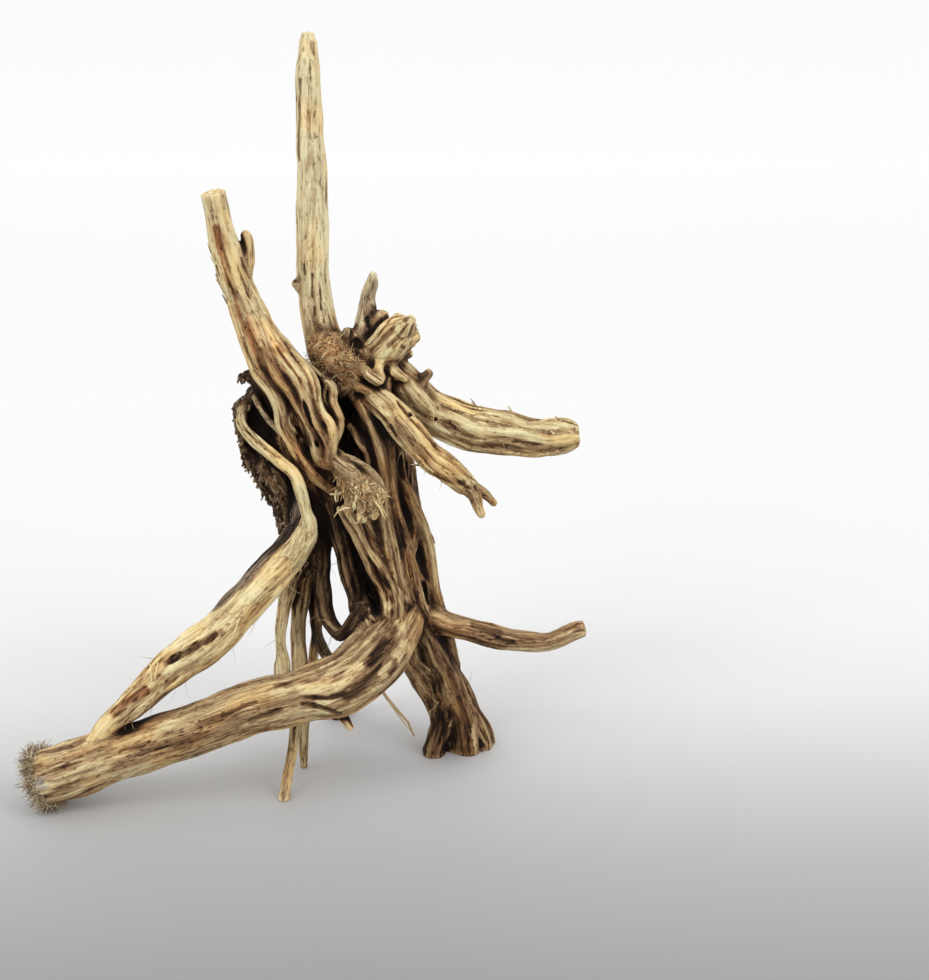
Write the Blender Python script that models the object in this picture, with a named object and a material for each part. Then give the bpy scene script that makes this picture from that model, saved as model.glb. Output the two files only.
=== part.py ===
"""Aquarium root wood: one weathered root that grew as a single piece.

A stump carries a tall spire, a cut horn and broken stubs. A bundle of sinuous strands runs down
from it to the trunk's foot, two arms leave it on the left and three on the right, and thin roots
stand below it. The whole is one solid. Every run of wood is a tube along a hand-placed line, and
a thick limb has ridges round its core. The tubes are fused into one skin, softened, thinned to
flat faces and cut level where they stand. Lengths are in millimetres until they reach Blender,
which takes metres.
"""

import math
import random
from dataclasses import dataclass

import bmesh
import bpy
from mathutils import Vector

MM = 0.001


@dataclass(frozen=True)
class Run:
    """One run of wood: how many ridges it has, how far they sway in radians, and its line.

    The line holds (x, y, z, radius) in millimetres: x to the right of the front view, y away from
    its viewer and z up from the surface that the wood stands on. A run without ridges is a single
    strand.
    """

    name: str
    ridges: int
    sway: float
    line: tuple


RUNS = (
    Run("spire", 6, 0.04, ((29, 24, 201, 8), (24, 26, 224, 10.5), (17, 30, 246, 12),
        (11, 33, 268, 10.5), (7, 36, 291, 9.5), (7, 39, 322, 9), (7, 43, 354, 8.5), (6, 47, 388, 8),
        (6, 50, 413, 7), (6, 52, 428, 5.5), (6, 53, 436, 3.5))),
    Run("horn", 5, 0.1, ((1, 10, 229, 16), (-14, 4, 254, 14), (-26, 1, 279, 10.5), (-34, -2, 304, 9),
        (-40, -5, 328, 8), (-44, -8, 354, 7))),
    Run("left_hub", 9, 0.26, ((-17, 10, 254, 10.5), (-7, 14, 236, 17), (0, 17, 216, 20),
        (9, 18, 194, 19.5), (20, 18, 170, 18), (34, 17, 145, 17))),
    Run("right_hub", 9, 0.24, ((29, 24, 256, 13), (36, 25, 238, 17), (41, 24, 215, 19),
        (45, 23, 188, 19), (49, 22, 161, 20), (53, 20, 136, 21))),
    Run("trunk", 9, 0.2, ((47, 19, 148, 24), (52, 18, 127, 22.5), (58, 18, 101, 21),
        (65, 18, 77, 17), (75, 19, 57, 15.5), (84, 21, 38, 15), (93, 24, 16, 15), (98, 26, 2, 16.5),
        (99, 28, -12, 18.5))),
    Run("lower_arm", 8, 0.12, ((58, 10, 99, 11.5), (54, -10, 93, 15.5), (41, -32, 82, 18.5),
        (22, -50, 74, 18), (-3, -59, 70, 15.5), (-28, -62, 65, 15.5), (-60, -62, 52, 15),
        (-93, -60, 40, 15), (-131, -57, 25, 16.5), (-154, -55, 16, 17))),
    Run("elbow_arm", 5, 0.16, ((4, -12, 162, 4), (1, -19, 152, 7), (-8, -24, 141, 9),
        (-20, -32, 130, 9.5), (-34, -40, 116, 10.5), (-52, -48, 101, 12.5), (-72, -54, 88, 12),
        (-90, -59, 72, 9), (-108, -61, 56, 7), (-118, -60, 41, 7))),
    Run("upper_right_arm", 6, 0.12, ((51, 16, 248, 10.5), (62, 18, 235, 12.5), (74, 21, 221, 13),
        (93, 24, 211, 13.5), (116, 27, 205, 13.5), (138, 30, 201, 12), (155, 32, 201, 11),
        (164, 33, 201, 7))),
    Run("second_right_arm", 5, 0.12, ((36, 6, 238, 5), (43, 1, 235, 7.5), (53, -6, 228, 8.5),
        (64, -11, 216, 9.5), (76, -13, 202, 8.5), (88, -15, 193, 8), (96, -17, 187, 7),
        (100, -18, 185, 5))),
    Run("mid_right_arm", 4, 0.1, ((58, 16, 107, 10.5), (70, 10, 96, 9.5), (87, 5, 90, 8),
        (108, 2, 85, 7.5), (130, 0, 81, 6.5), (147, 0, 81, 6), (161, 1, 87, 6), (168, 1, 89, 5))),
    Run("elbow_strand", 0, 0, ((-34, 6, 224, 3.5), (-34, 0, 218, 4), (-28, -7, 212, 4.5),
        (-20, -13, 207, 4.5), (-11, -16, 200, 4.5), (-3, -19, 194, 4.5), (1, -21, 184, 4.5),
        (4, -22, 172, 4.5), (6, -22, 163, 5), (1, -23, 153, 7), (-7, -27, 142, 7))),
    Run("elbow_bark", 0, 0, ((0, 4, 172, 3.5), (-2, -2, 164, 5.5), (-3, -8, 155, 7),
        (-10, -16, 147, 7), (-22, -26, 138, 6.5), (-34, -36, 128, 4.5), (-48, -44, 114, 4))),
    Run("crag_top", 0, 0, ((-22, 10, 239, 5.5), (-28, 10, 244, 4.5), (-34, 10, 244, 2.5))),
    Run("crag_side", 0, 0, ((-22, 10, 239, 5.5), (-29, 10, 230, 4.5), (-36, 11, 225, 4),
        (-37, 10, 215, 3.5), (-35, 10, 207, 4))),
    Run("crag_low", 0, 0, ((-34, 12, 199, 4), (-29, 12, 190, 6), (-22, 13, 182, 7),
        (-17, 13, 171, 7), (-11, 12, 158, 7), (-4, 13, 144, 8), (0, 15, 128, 7.5))),
    Run("crag_rib", 0, 0, ((-24, 6, 189, 3.5), (-16, 4, 180, 3.5), (-10, 4, 167, 3.5),
        (-6, 4, 155, 4))),
    Run("stump_pocket_back", 0, 0, ((-16, 18, 240, 6), (-21, 18, 229, 9), (-18, 18, 210, 10.5),
        (-11, 19, 189, 11), (-3, 19, 167, 10), (5, 20, 149, 8))),
    Run("strand_a", 0, 0, ((-35, -6, 290, 4), (-28, -8, 267, 4.5), (-22, -11, 252, 4.5),
        (-15, -13, 242, 4), (-10, -14, 232, 4), (-9, -14, 221, 4), (-4, -14, 212, 4),
        (1, -13, 202, 4.5), (8, -11, 191, 4.5), (16, -8, 181, 5.5))),
    Run("strand_b", 0, 0, ((-26, -8, 282, 3.5), (-17, -11, 263, 3.5), (-11, -14, 250, 3.5),
        (-4, -15, 241, 3.5), (0, -15, 233, 3), (4, -15, 223, 3), (8, -15, 214, 3.5),
        (11, -14, 203, 4), (14, -12, 192, 4.5))),
    Run("strand_c", 0, 0, ((-20, -4, 280, 4.5), (-10, -8, 263, 5), (0, -13, 250, 5),
        (4, -16, 241, 4), (7, -17, 231, 3.5), (12, -17, 220, 3.5), (16, -16, 210, 3.5),
        (17, -15, 199, 4))),
    Run("strand_d", 0, 0, ((-9, 0, 265, 4.5), (2, -7, 255, 4), (10, -12, 246, 3.5),
        (11, -14, 237, 3.5), (14, -15, 229, 3), (19, -16, 223, 3), (20, -16, 214, 3),
        (19, -16, 207, 3))),
    Run("strand_e", 0, 0, ((2, 2, 254, 3), (11, -3, 248, 3), (20, -7, 242, 3), (20, -9, 234, 3),
        (24, -10, 224, 3), (23, -12, 217, 3), (19, -15, 209, 3))),
    Run("strand_f", 0, 0, ((-26, 4, 233, 2.5), (-21, 0, 225, 2), (-16, -2, 219, 2),
        (-9, -6, 214, 2.5))),
    Run("curl_low", 0, 0, ((18, -12, 212, 3), (19, -15, 204, 3), (24, -19, 199, 3),
        (31, -23, 195, 4), (36, -26, 188, 4.5))),
    Run("curl_high", 0, 0, ((18, -10, 207, 2.5), (24, -13, 203, 2.5), (33, -16, 200, 2.5),
        (40, -18, 196, 2.5), (46, -20, 189, 3), (49, -20, 182, 2.5))),
    Run("burl", 0, 0, ((21, -8, 198, 6), (29, -17, 192, 7), (36, -25, 186, 8), (39, -29, 181, 7.5))),
    Run("burl_prong_a", 0, 0, ((30, -20, 190, 4.5), (31, -27, 180, 4), (30, -31, 174, 2.5))),
    Run("burl_prong_b", 0, 0, ((33, -24, 188, 4.5), (37, -32, 178, 4.5), (37, -36, 172, 3))),
    Run("burl_prong_c", 0, 0, ((37, -24, 188, 4.5), (42, -32, 181, 4.5), (44, -35, 174, 3))),
    Run("burl_prong_d", 0, 0, ((37, -20, 190, 4.5), (44, -26, 186, 4), (49, -29, 183, 2.5))),
    Run("strand_g", 0, 0, ((30, 6, 236, 3.5), (38, -2, 225, 3.5), (43, -6, 215, 3.5),
        (46, -7, 205, 4), (48, -6, 194, 4), (49, -4, 181, 4), (48, -5, 167, 4.5), (51, -6, 148, 5),
        (55, -6, 126, 5.5), (60, -2, 106, 6), (63, 8, 85, 6))),
    Run("strand_h", 0, 0, ((32, 4, 213, 2.5), (38, 0, 206, 2.5), (41, -2, 197, 3), (44, -3, 186, 3))),
    Run("strand_i", 0, 0, ((47, 0, 225, 4), (51, -2, 212, 4), (52, -1, 198, 4), (52, 0, 184, 4),
        (54, 0, 168, 4.5), (58, 0, 149, 5), (61, 0, 128, 5.5), (65, 1, 110, 6), (70, 4, 93, 6),
        (75, 12, 72, 6), (80, 20, 52, 6))),
    Run("strand_j", 0, 0, ((56, 8, 197, 4), (58, 8, 182, 4.5), (63, 8, 169, 5), (69, 10, 152, 5.5),
        (73, 11, 136, 5.5), (75, 12, 119, 5), (77, 13, 105, 5), (80, 12, 91, 5), (85, 15, 76, 5),
        (89, 22, 57, 5))),
    Run("strand_k", 0, 0, ((26, -6, 168, 5.5), (33, -8, 157, 6), (40, -8, 141, 6), (46, -8, 128, 6),
        (51, -10, 116, 6.5), (53, -16, 105, 7), (51, -22, 94, 7))),
    Run("strand_m", 0, 0, ((32, -4, 173, 4), (39, -5, 158, 4.5), (46, -5, 143, 4.5),
        (52, -6, 127, 5), (57, -6, 112, 5.5))),
    Run("strand_n", 0, 0, ((59, 4, 142, 5), (63, 4, 126, 5.5), (67, 5, 109, 5.5), (71, 6, 91, 6),
        (77, 6, 74, 6), (85, 8, 55, 6), (91, 10, 35, 5.5), (95, 12, 21, 5.5), (98, 14, 3, 5.5))),
    Run("strand_l", 0, 0, ((18, 6, 166, 7), (23, 4, 148, 7), (27, 4, 129, 6.5), (31, 1, 113, 7),
        (36, -12, 104, 7), (43, -28, 94, 7))),
    Run("lump_a", 0, 0, ((39, 8, 259, 4.5), (41, 3, 248, 4), (41, 2, 237, 3.5))),
    Run("lump_b", 0, 0, ((46, 8, 254, 5), (49, 4, 245, 4.5), (49, 2, 237, 4))),
    Run("lump_c", 0, 0, ((30, 6, 244, 4), (32, 4, 236, 3))),
    Run("root_fibre_mass", 0, 0, ((12, 18, 258, 7.5), (20, 14, 254, 9.5), (26, 12, 250, 9.5),
        (30, 12, 243, 7))),
    Run("fibre_mass_low", 0, 0, ((15, 18, 248, 7), (22, 13, 243, 7), (29, 12, 239, 5.5))),
    Run("spike", 0, 0, ((37, 24, 255, 9.5), (38, 26, 268, 7.5), (39, 27, 279, 5.5),
        (39, 28, 288, 4.5), (41, 28, 295, 4), (42, 28, 300, 2.5))),
    Run("knob", 0, 0, ((43, 24, 265, 5.5), (48, 22, 277, 4.5))),
    Run("knob_left", 0, 0, ((32, 22, 260, 6), (28, 20, 268, 3.5))),
    Run("broken_stub", 0, 0, ((38, 16, 249, 9.5), (48, 12, 258, 10), (56, 9, 267, 9.5))),
    Run("stub_prong_a", 0, 0, ((47, 14, 261, 6), (53, 14, 272, 5), (57, 15, 278, 3.5))),
    Run("stub_prong_b", 0, 0, ((50, 8, 263, 6), (60, 4, 273, 5), (65, 2, 279, 3.5))),
    Run("stub_prong_c", 0, 0, ((51, 10, 260, 6), (61, 8, 265, 5), (67, 7, 268, 3.5))),
    Run("stub_prong_d", 0, 0, ((51, 16, 256, 6), (59, 20, 256, 4.5), (63, 22, 255, 3))),
    Run("little_stub", 0, 0, ((65, 16, 235, 4.5), (71, 14, 241, 3.5), (75, 13, 245, 3))),
    Run("horn_spur", 0, 0, ((-32, 0, 292, 4), (-31, 2, 300, 4.5), (-28, 2, 313, 4.5),
        (-27, 1, 325, 3.5), (-28, 1, 329, 3))),
    Run("horn_collar", 0, 0, ((-16, 6, 260, 7), (-10, 8, 263, 4))),
    Run("spire_knot", 0, 0, ((1, 35, 292, 4.5), (-3, 34, 294, 3))),
    Run("fork_a", 0, 0, ((95, -17, 187, 5), (102, -20, 181, 4), (104, -23, 175, 3),
        (106, -25, 171, 2.5))),
    Run("fork_b", 0, 0, ((95, -17, 189, 5), (103, -15, 183, 4), (109, -12, 178, 3),
        (113, -10, 173, 2.5))),
    Run("loop_root", 0, 0, ((11, 10, 174, 5.5), (8, 10, 155, 8), (9, 10, 136, 6.5), (9, 9, 117, 5.5),
        (11, 4, 103, 5), (16, -4, 93, 4.5), (23, -14, 91, 4.5), (29, -20, 99, 4.5),
        (35, -16, 107, 5.5))),
    Run("back_root_a", 0, 0, ((2, 22, 161, 5), (-4, 21, 136, 6.5), (-10, 18, 114, 5.5),
        (-14, 8, 97, 4), (-14, -10, 83, 3.5), (-10, -38, 72, 5.5))),
    Run("back_root_b", 0, 0, ((10, 24, 167, 5.5), (1, 26, 136, 8.5), (-4, 24, 105, 6),
        (-6, 16, 82, 5), (-4, 0, 61, 5), (-5, -18, 43, 4), (-7, -30, 26, 3.5), (-10, -42, 9, 3.5),
        (-11, -48, 1, 3.5), (-12, -51, -3, 3.5))),
    Run("back_root_c", 0, 0, ((18, 26, 169, 5.5), (9, 28, 135, 7.5), (4, 29, 103, 5),
        (4, 26, 78, 3.5), (1, 14, 50, 3.5), (-2, 2, 27, 3), (-3, -4, 9, 3), (-3, -6, 1, 2.5))),
    Run("back_stub", 0, 0, ((4, 28, 82, 3), (7, 14, 75, 3.5), (13, -4, 73, 3.5), (21, -26, 75, 4.5),
        (26, -40, 76, 4.5))),
    Run("rear_root", 5, 0.2, ((56, 26, 150, 7.5), (53, 36, 123, 12.5), (46, 45, 93, 12),
        (34, 51, 65, 9.5), (24, 60, 38, 8), (16, 67, 12, 7), (13, 69, -1, 7.5), (12, 69, -7, 8))),
    Run("trunk_toe", 0, 0, ((85, 16, 42, 8.5), (83, 13, 28, 8), (80, 12, 15, 7), (77, 12, 2, 7))),
    Run("arm_peg", 0, 0, ((21, -48, 59, 3.5), (26, -53, 54, 3), (29, -55, 50, 2.5))),
)

# The middle of the runs in plan, which the finished wood has at its origin.
CENTRE_X = 4.35
CENTRE_Y = -0.87

STEP = 3.0  # distance between the points of a smooth line
NOSE = ((0.8, 0.45), (0.5, 0.82))  # a round end: how far beyond the last point, and how wide, in radii

RIDGE_TOUCH = 1.05  # how much wider a ridge is than one that would just touch its neighbours
RIDGE_WIDTHS = (0.85, 1.2)  # the least and the most of that width
RIDGE_DEPTHS = (0.93, 1.04)  # how far out a ridge lies, of what brings it to the limb's own radius
RIDGE_SHIFT = 0.2  # how far a ridge starts from its even place, of the distance between two
CORE_FILL = 0.05  # how far a limb's core fills the grooves between its ridges
TURN_PER_SWAY = 0.02  # a limb's twist in radians for each millimetre, for each radian of sway
SWAY_WAVE = 46.0  # length of one wander of a ridge
SWELL = 0.12  # how much a ridge thickens and thins
SWELL_WAVE = 35.0  # length of one thickening of a ridge
RIDGE_SEED = 7

SIDES = 3  # bevel resolution, which gives a tube ten sides
VOXEL = 1.2  # cell that fuses the tubes
SOFTEN_FACTOR = 0.5
SOFTEN_STEPS = 2
TRIANGLES = 11600
SHARP_ANGLE = 50  # degrees
WOOD_COLOUR = (0.46, 0.34, 0.19, 1.0)
WOOD_ROUGHNESS = 0.78


def clear_scene():
    """Removes what the startup file put in the scene."""
    for obj in list(bpy.data.objects):
        bpy.data.objects.remove(obj)


def smooth_line(line):
    """Points about one STEP apart on a Catmull-Rom curve through the line, each (Vector, radius)."""
    points = [Vector(p[:3]) for p in line]
    radii = [p[3] for p in line]
    points = [points[0] * 2 - points[1]] + points + [points[-1] * 2 - points[-2]]
    radii = [radii[0]] + radii + [radii[-1]]
    found = []
    for i in range(1, len(points) - 2):
        a, b, c, d = points[i - 1 : i + 3]
        count = max(2, round((c - b).length / STEP))
        for k in range(count):
            t = k / count
            square = (2 * a - 5 * b + 4 * c - d) * t**2
            cube = (3 * b - a - 3 * c + d) * t**3
            place = (2 * b + (c - a) * t + square + cube) / 2
            ease = t * t * (3 - 2 * t)
            found.append((place, radii[i] + (radii[i + 1] - radii[i]) * ease))
    found.append((points[-2], radii[-2]))
    return found


def side_frames(smooth):
    """Two directions square to the line at each of its points, carried along without twisting."""
    frames = []
    side = None
    for i, (place, _) in enumerate(smooth):
        before = smooth[max(i - 1, 0)][0]
        after = smooth[min(i + 1, len(smooth) - 1)][0]
        along = (after - before).normalized()
        if side is None:
            side = along.cross(Vector((0, 1, 0)) if abs(along.y) < 0.9 else Vector((1, 0, 0)))
        side = (side - along * side.dot(along)).normalized()
        frames.append((side.copy(), along.cross(side)))
    return frames


def ridge_share(ridges):
    """A ridge's radius as a share of its limb's, so that the ridges touch and reach the full radius."""
    reach = RIDGE_TOUCH * math.sin(math.pi / ridges)
    return reach / (1 + reach)


def core_share(ridges):
    """The radius of the core inside the ridges, as a share of the limb's."""
    return 1 - (1 - CORE_FILL) * ridge_share(ridges) if ridges else 1.0


def ridge_lines(run, draw):
    """The lines of a limb's ridges, which wind slowly round it and sway as old root does."""
    smooth = smooth_line(run.line)
    frames = side_frames(smooth)
    lines = []
    for i in range(run.ridges):
        sway_phase = draw.uniform(0, math.tau)
        swell_phase = draw.uniform(0, math.tau)
        share = ridge_share(run.ridges) * draw.uniform(*RIDGE_WIDTHS)
        offset = (1 - share) * draw.uniform(*RIDGE_DEPTHS)
        start = math.tau * (i + draw.uniform(-RIDGE_SHIFT, RIDGE_SHIFT)) / run.ridges
        line = []
        for k, ((place, radius), (u, v)) in enumerate(zip(smooth, frames)):
            length = k * STEP
            angle = start + run.sway * TURN_PER_SWAY * length
            angle += run.sway * math.sin(math.tau * length / SWAY_WAVE + sway_phase)
            out = u * math.cos(angle) + v * math.sin(angle)
            swell = 1 + SWELL * math.sin(math.tau * length / SWELL_WAVE + swell_phase)
            line.append((place + out * radius * offset, share * radius * swell))
        lines.append(line)
    return lines


def nose(line):
    """The points that round off a tube before its first point, so that it doesn't start as a flat disc."""
    (first, radius), (second, _) = line[:2]
    back = (first - second).normalized()
    return [(first + back * radius * along, radius * share) for along, share in NOSE]


def add_tube(curve, line, sawn):
    """Adds one closed tube along a line of (Vector, radius). A sawn end stays flat, any other is round."""
    line = nose(line) + line
    if not sawn:
        line = line + nose(line[::-1])[::-1]
    spline = curve.splines.new("POLY")
    spline.points.add(len(line) - 1)
    for point, (place, radius) in zip(spline.points, line):
        point.co = (*((place - Vector((CENTRE_X, CENTRE_Y, 0))) * MM), 1)
        point.radius = radius


def tubes():
    """A curve object that holds every run and ridge as a tube."""
    curve = bpy.data.curves.new("tubes", "CURVE")
    curve.dimensions = "3D"
    curve.bevel_depth = MM
    curve.bevel_resolution = SIDES
    curve.use_fill_caps = True
    draw = random.Random(RIDGE_SEED)
    for run in RUNS:
        share = core_share(run.ridges)
        sawn = run.ridges > 0
        add_tube(curve, [(place, radius * share) for place, radius in smooth_line(run.line)], sawn)
        for line in ridge_lines(run, draw):
            add_tube(curve, line, sawn)
    obj = bpy.data.objects.new("tubes", curve)
    bpy.context.scene.collection.objects.link(obj)
    return obj


def evaluated_mesh(obj):
    """A new mesh of the object as its modifiers leave it."""
    graph = bpy.context.evaluated_depsgraph_get()
    return bpy.data.meshes.new_from_object(obj.evaluated_get(graph), depsgraph=graph)


def fused(obj):
    """One softened skin round all the tubes."""
    mesh = evaluated_mesh(obj)
    skin = bpy.data.objects.new("skin", mesh)
    bpy.context.scene.collection.objects.link(skin)
    remesh = skin.modifiers.new("fuse", "REMESH")
    remesh.mode = "VOXEL"
    remesh.voxel_size = VOXEL * MM
    soften = skin.modifiers.new("soften", "SMOOTH")
    soften.factor = SOFTEN_FACTOR
    soften.iterations = SOFTEN_STEPS
    result = evaluated_mesh(skin)
    bpy.data.objects.remove(skin)
    return result


def islands(bm):
    """The separate skins of a mesh, as lists of faces, largest first."""
    bm.faces.ensure_lookup_table()
    seen = set()
    groups = []
    for face in bm.faces:
        if face in seen:
            continue
        group = []
        front = [face]
        seen.add(face)
        while front:
            current = front.pop()
            group.append(current)
            for edge in current.edges:
                for other in edge.link_faces:
                    if other not in seen:
                        seen.add(other)
                        front.append(other)
        groups.append(group)
    return sorted(groups, key=len, reverse=True)


def keep_outer_skin(mesh):
    """Fills closed pockets between the tubes by dropping every skin but the outer one."""
    bm = bmesh.new()
    bm.from_mesh(mesh)
    for group in islands(bm)[1:]:
        bmesh.ops.delete(bm, geom=group, context="FACES")
    bmesh.ops.delete(bm, geom=[v for v in bm.verts if not v.link_faces], context="VERTS")
    bm.to_mesh(mesh)
    bm.free()


def thinned(mesh):
    """The skin in about TRIANGLES flat faces."""
    obj = bpy.data.objects.new("thinned", mesh)
    bpy.context.scene.collection.objects.link(obj)
    decimate = obj.modifiers.new("thin", "DECIMATE")
    decimate.ratio = TRIANGLES / sum(len(face.vertices) - 2 for face in mesh.polygons)
    decimate.use_collapse_triangulate = True
    result = evaluated_mesh(obj)
    bpy.data.objects.remove(obj)
    return result


def cut_level(mesh):
    """Cuts the feet flat at the surface that the wood stands on."""
    bm = bmesh.new()
    bm.from_mesh(mesh)
    geometry = bm.verts[:] + bm.edges[:] + bm.faces[:]
    bmesh.ops.bisect_plane(bm, geom=geometry, plane_co=(0, 0, 0), plane_no=(0, 0, 1), clear_inner=True)
    rim = [edge for edge in bm.edges if edge.is_boundary]
    bmesh.ops.holes_fill(bm, edges=rim, sides=0)
    bmesh.ops.triangulate(bm, faces=[face for face in bm.faces if len(face.verts) > 3])
    bmesh.ops.recalc_face_normals(bm, faces=bm.faces[:])
    bm.to_mesh(mesh)
    bm.free()


def wood_material():
    """Dry pale wood."""
    material = bpy.data.materials.new("root_wood")
    material.use_nodes = True
    shader = material.node_tree.nodes["Principled BSDF"]
    shader.inputs["Base Color"].default_value = WOOD_COLOUR
    shader.inputs["Roughness"].default_value = WOOD_ROUGHNESS
    shader.inputs["Metallic"].default_value = 0.0
    return material


def build():
    """Makes the root wood."""
    clear_scene()
    rods = tubes()
    skin = fused(rods)
    bpy.data.objects.remove(rods)
    keep_outer_skin(skin)
    mesh = thinned(skin)
    cut_level(mesh)
    mesh.materials.clear()
    mesh.materials.append(wood_material())
    mesh.shade_smooth()
    mesh.set_sharp_from_angle(angle=math.radians(SHARP_ANGLE))
    wood = bpy.data.objects.new("root_wood", mesh)
    bpy.context.scene.collection.objects.link(wood)


build()
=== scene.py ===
"""Aquarium root wood: the dressed model of one weathered root on a plain pale floor.

The wood is carved from a field of distances to its runs: thick limbs with ridges round them and
single strands, along the same lines as the solid. The skin of that field gets flutes, grooves
and cracks that follow the grain, and each point of it carries its place along its own strand, so
that the colour and the fine relief run with the wood. Lengths are in millimetres until a mesh is
made, which takes metres.
"""

import logging
import math
import random
from dataclasses import dataclass, field, replace
from enum import Enum
from functools import reduce

import bpy
import numpy as np
import openvdb
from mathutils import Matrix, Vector

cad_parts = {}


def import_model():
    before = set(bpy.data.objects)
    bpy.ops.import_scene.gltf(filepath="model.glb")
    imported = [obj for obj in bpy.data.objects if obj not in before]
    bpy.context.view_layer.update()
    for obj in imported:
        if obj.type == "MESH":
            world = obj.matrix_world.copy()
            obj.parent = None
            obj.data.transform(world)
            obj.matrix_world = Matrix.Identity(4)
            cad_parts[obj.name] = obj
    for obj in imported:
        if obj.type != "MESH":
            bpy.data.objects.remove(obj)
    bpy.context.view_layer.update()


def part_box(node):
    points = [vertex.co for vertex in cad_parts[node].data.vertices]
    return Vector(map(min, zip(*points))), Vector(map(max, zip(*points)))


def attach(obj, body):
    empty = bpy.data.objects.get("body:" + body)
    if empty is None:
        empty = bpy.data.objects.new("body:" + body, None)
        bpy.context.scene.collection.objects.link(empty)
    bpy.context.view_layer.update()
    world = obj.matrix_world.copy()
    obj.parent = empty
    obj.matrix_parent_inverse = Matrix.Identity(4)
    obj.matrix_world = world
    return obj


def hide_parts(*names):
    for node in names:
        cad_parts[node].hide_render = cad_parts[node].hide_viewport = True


log = logging.getLogger("root_wood")

Pair = tuple[float, float]
Triple = tuple[float, float, float]
Quad = tuple[float, float, float, float]
Socket = bpy.types.NodeSocket

MM = 0.001
BODY = "root"
NODE = "root_wood"
DETAIL_SEED = 11


@dataclass(frozen=True)
class Run:
    """One run of wood: its line, how many ridges it has and how far they sway in radians.

    The line holds (x, y, z, radius) in millimetres: x to the right of the front view, y away from
    its viewer and z up from the surface that the wood stands on. A run without ridges is a single
    strand.
    """

    name: str
    line: tuple[Quad, ...]
    ridges: int = 0
    sway: float = 0.0


# The middle of the runs in plan, which the finished wood has at its origin.
CENTRE = np.array((4.35, -0.87, 0.0))


@dataclass(frozen=True)
class Sight:
    """The photograph's view of the wood, through which the pixels in this script are read.

    Nothing in the photograph fixes its camera, so this one is assumed.

    Args:
        place: Where the camera stands, in the finished wood's own millimetres.
        pitch: How far it is tipped up from looking straight down, in degrees.
        lens: Its focal length in millimetres.
        sensor: The length of its sensor's longer side in millimetres.
        frame: The photograph's width and height in pixels.
        depth_zero: Where the depths that go with pixels count from, on the finished wood's y axis.
    """

    place: Triple = (91.65, -1068.5, 524.95)
    pitch: float = 72.0
    lens: float = 70.0
    sensor: float = 36.0
    frame: tuple[int, int] = (929, 980)
    depth_zero: float = 18.87

    @property
    def focus(self) -> float:
        """Gives the focal length in pixels."""
        return self.lens / self.sensor * max(self.frame)

    @property
    def forward(self) -> np.ndarray:
        """Gives the way that the camera looks."""
        tilt = math.radians(self.pitch)
        return np.array((0.0, math.sin(tilt), -math.cos(tilt)))

    def ways(self, pixels: np.ndarray) -> np.ndarray:
        """Gives the line of sight through each pixel.

        Args:
            pixels: Across and down from the frame's top left corner, one row each.

        Returns:
            How far each line goes on each axis while it goes one millimetre straight ahead.
        """
        across = (pixels[:, 0] - self.frame[0] / 2) / self.focus
        rise = (self.frame[1] / 2 - pixels[:, 1]) / self.focus
        tilt = math.radians(self.pitch)
        upward = np.array((0.0, math.cos(tilt), math.sin(tilt)))
        return self.forward + across[:, None] * (1.0, 0.0, 0.0) + rise[:, None] * upward

    def at_depth(self, spots: np.ndarray) -> tuple[np.ndarray, np.ndarray]:
        """Finds the places of pixels whose depth is known.

        Args:
            spots: Across and down in pixels and depth in millimetres, one row each.

        Returns:
            The places, and how many millimetres wide a pixel is at each.
        """
        ways = self.ways(spots)
        far = (spots[:, 2] + self.depth_zero - self.place[1]) / ways[:, 1]
        return self.place + ways * far[:, None], far / self.focus


SIGHT = Sight()


def filler(name: str, *spots: Quad) -> Run:
    """Makes a strand from pixels of the photograph.

    Args:
        name: The strand's name.
        spots: Across and down in pixels, depth in millimetres and radius in pixels.

    Returns:
        The strand, in whole millimetres as the other runs are, with its radii to the half.
    """
    rows = np.array(spots, dtype=float)
    places, widths = SIGHT.at_depth(rows)
    places = np.rint(places + CENTRE).tolist()
    radii = (np.rint(rows[:, 3] * widths * 2) / 2).tolist()
    return Run(name, tuple((*place, radius) for place, radius in zip(places, radii)))


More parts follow.
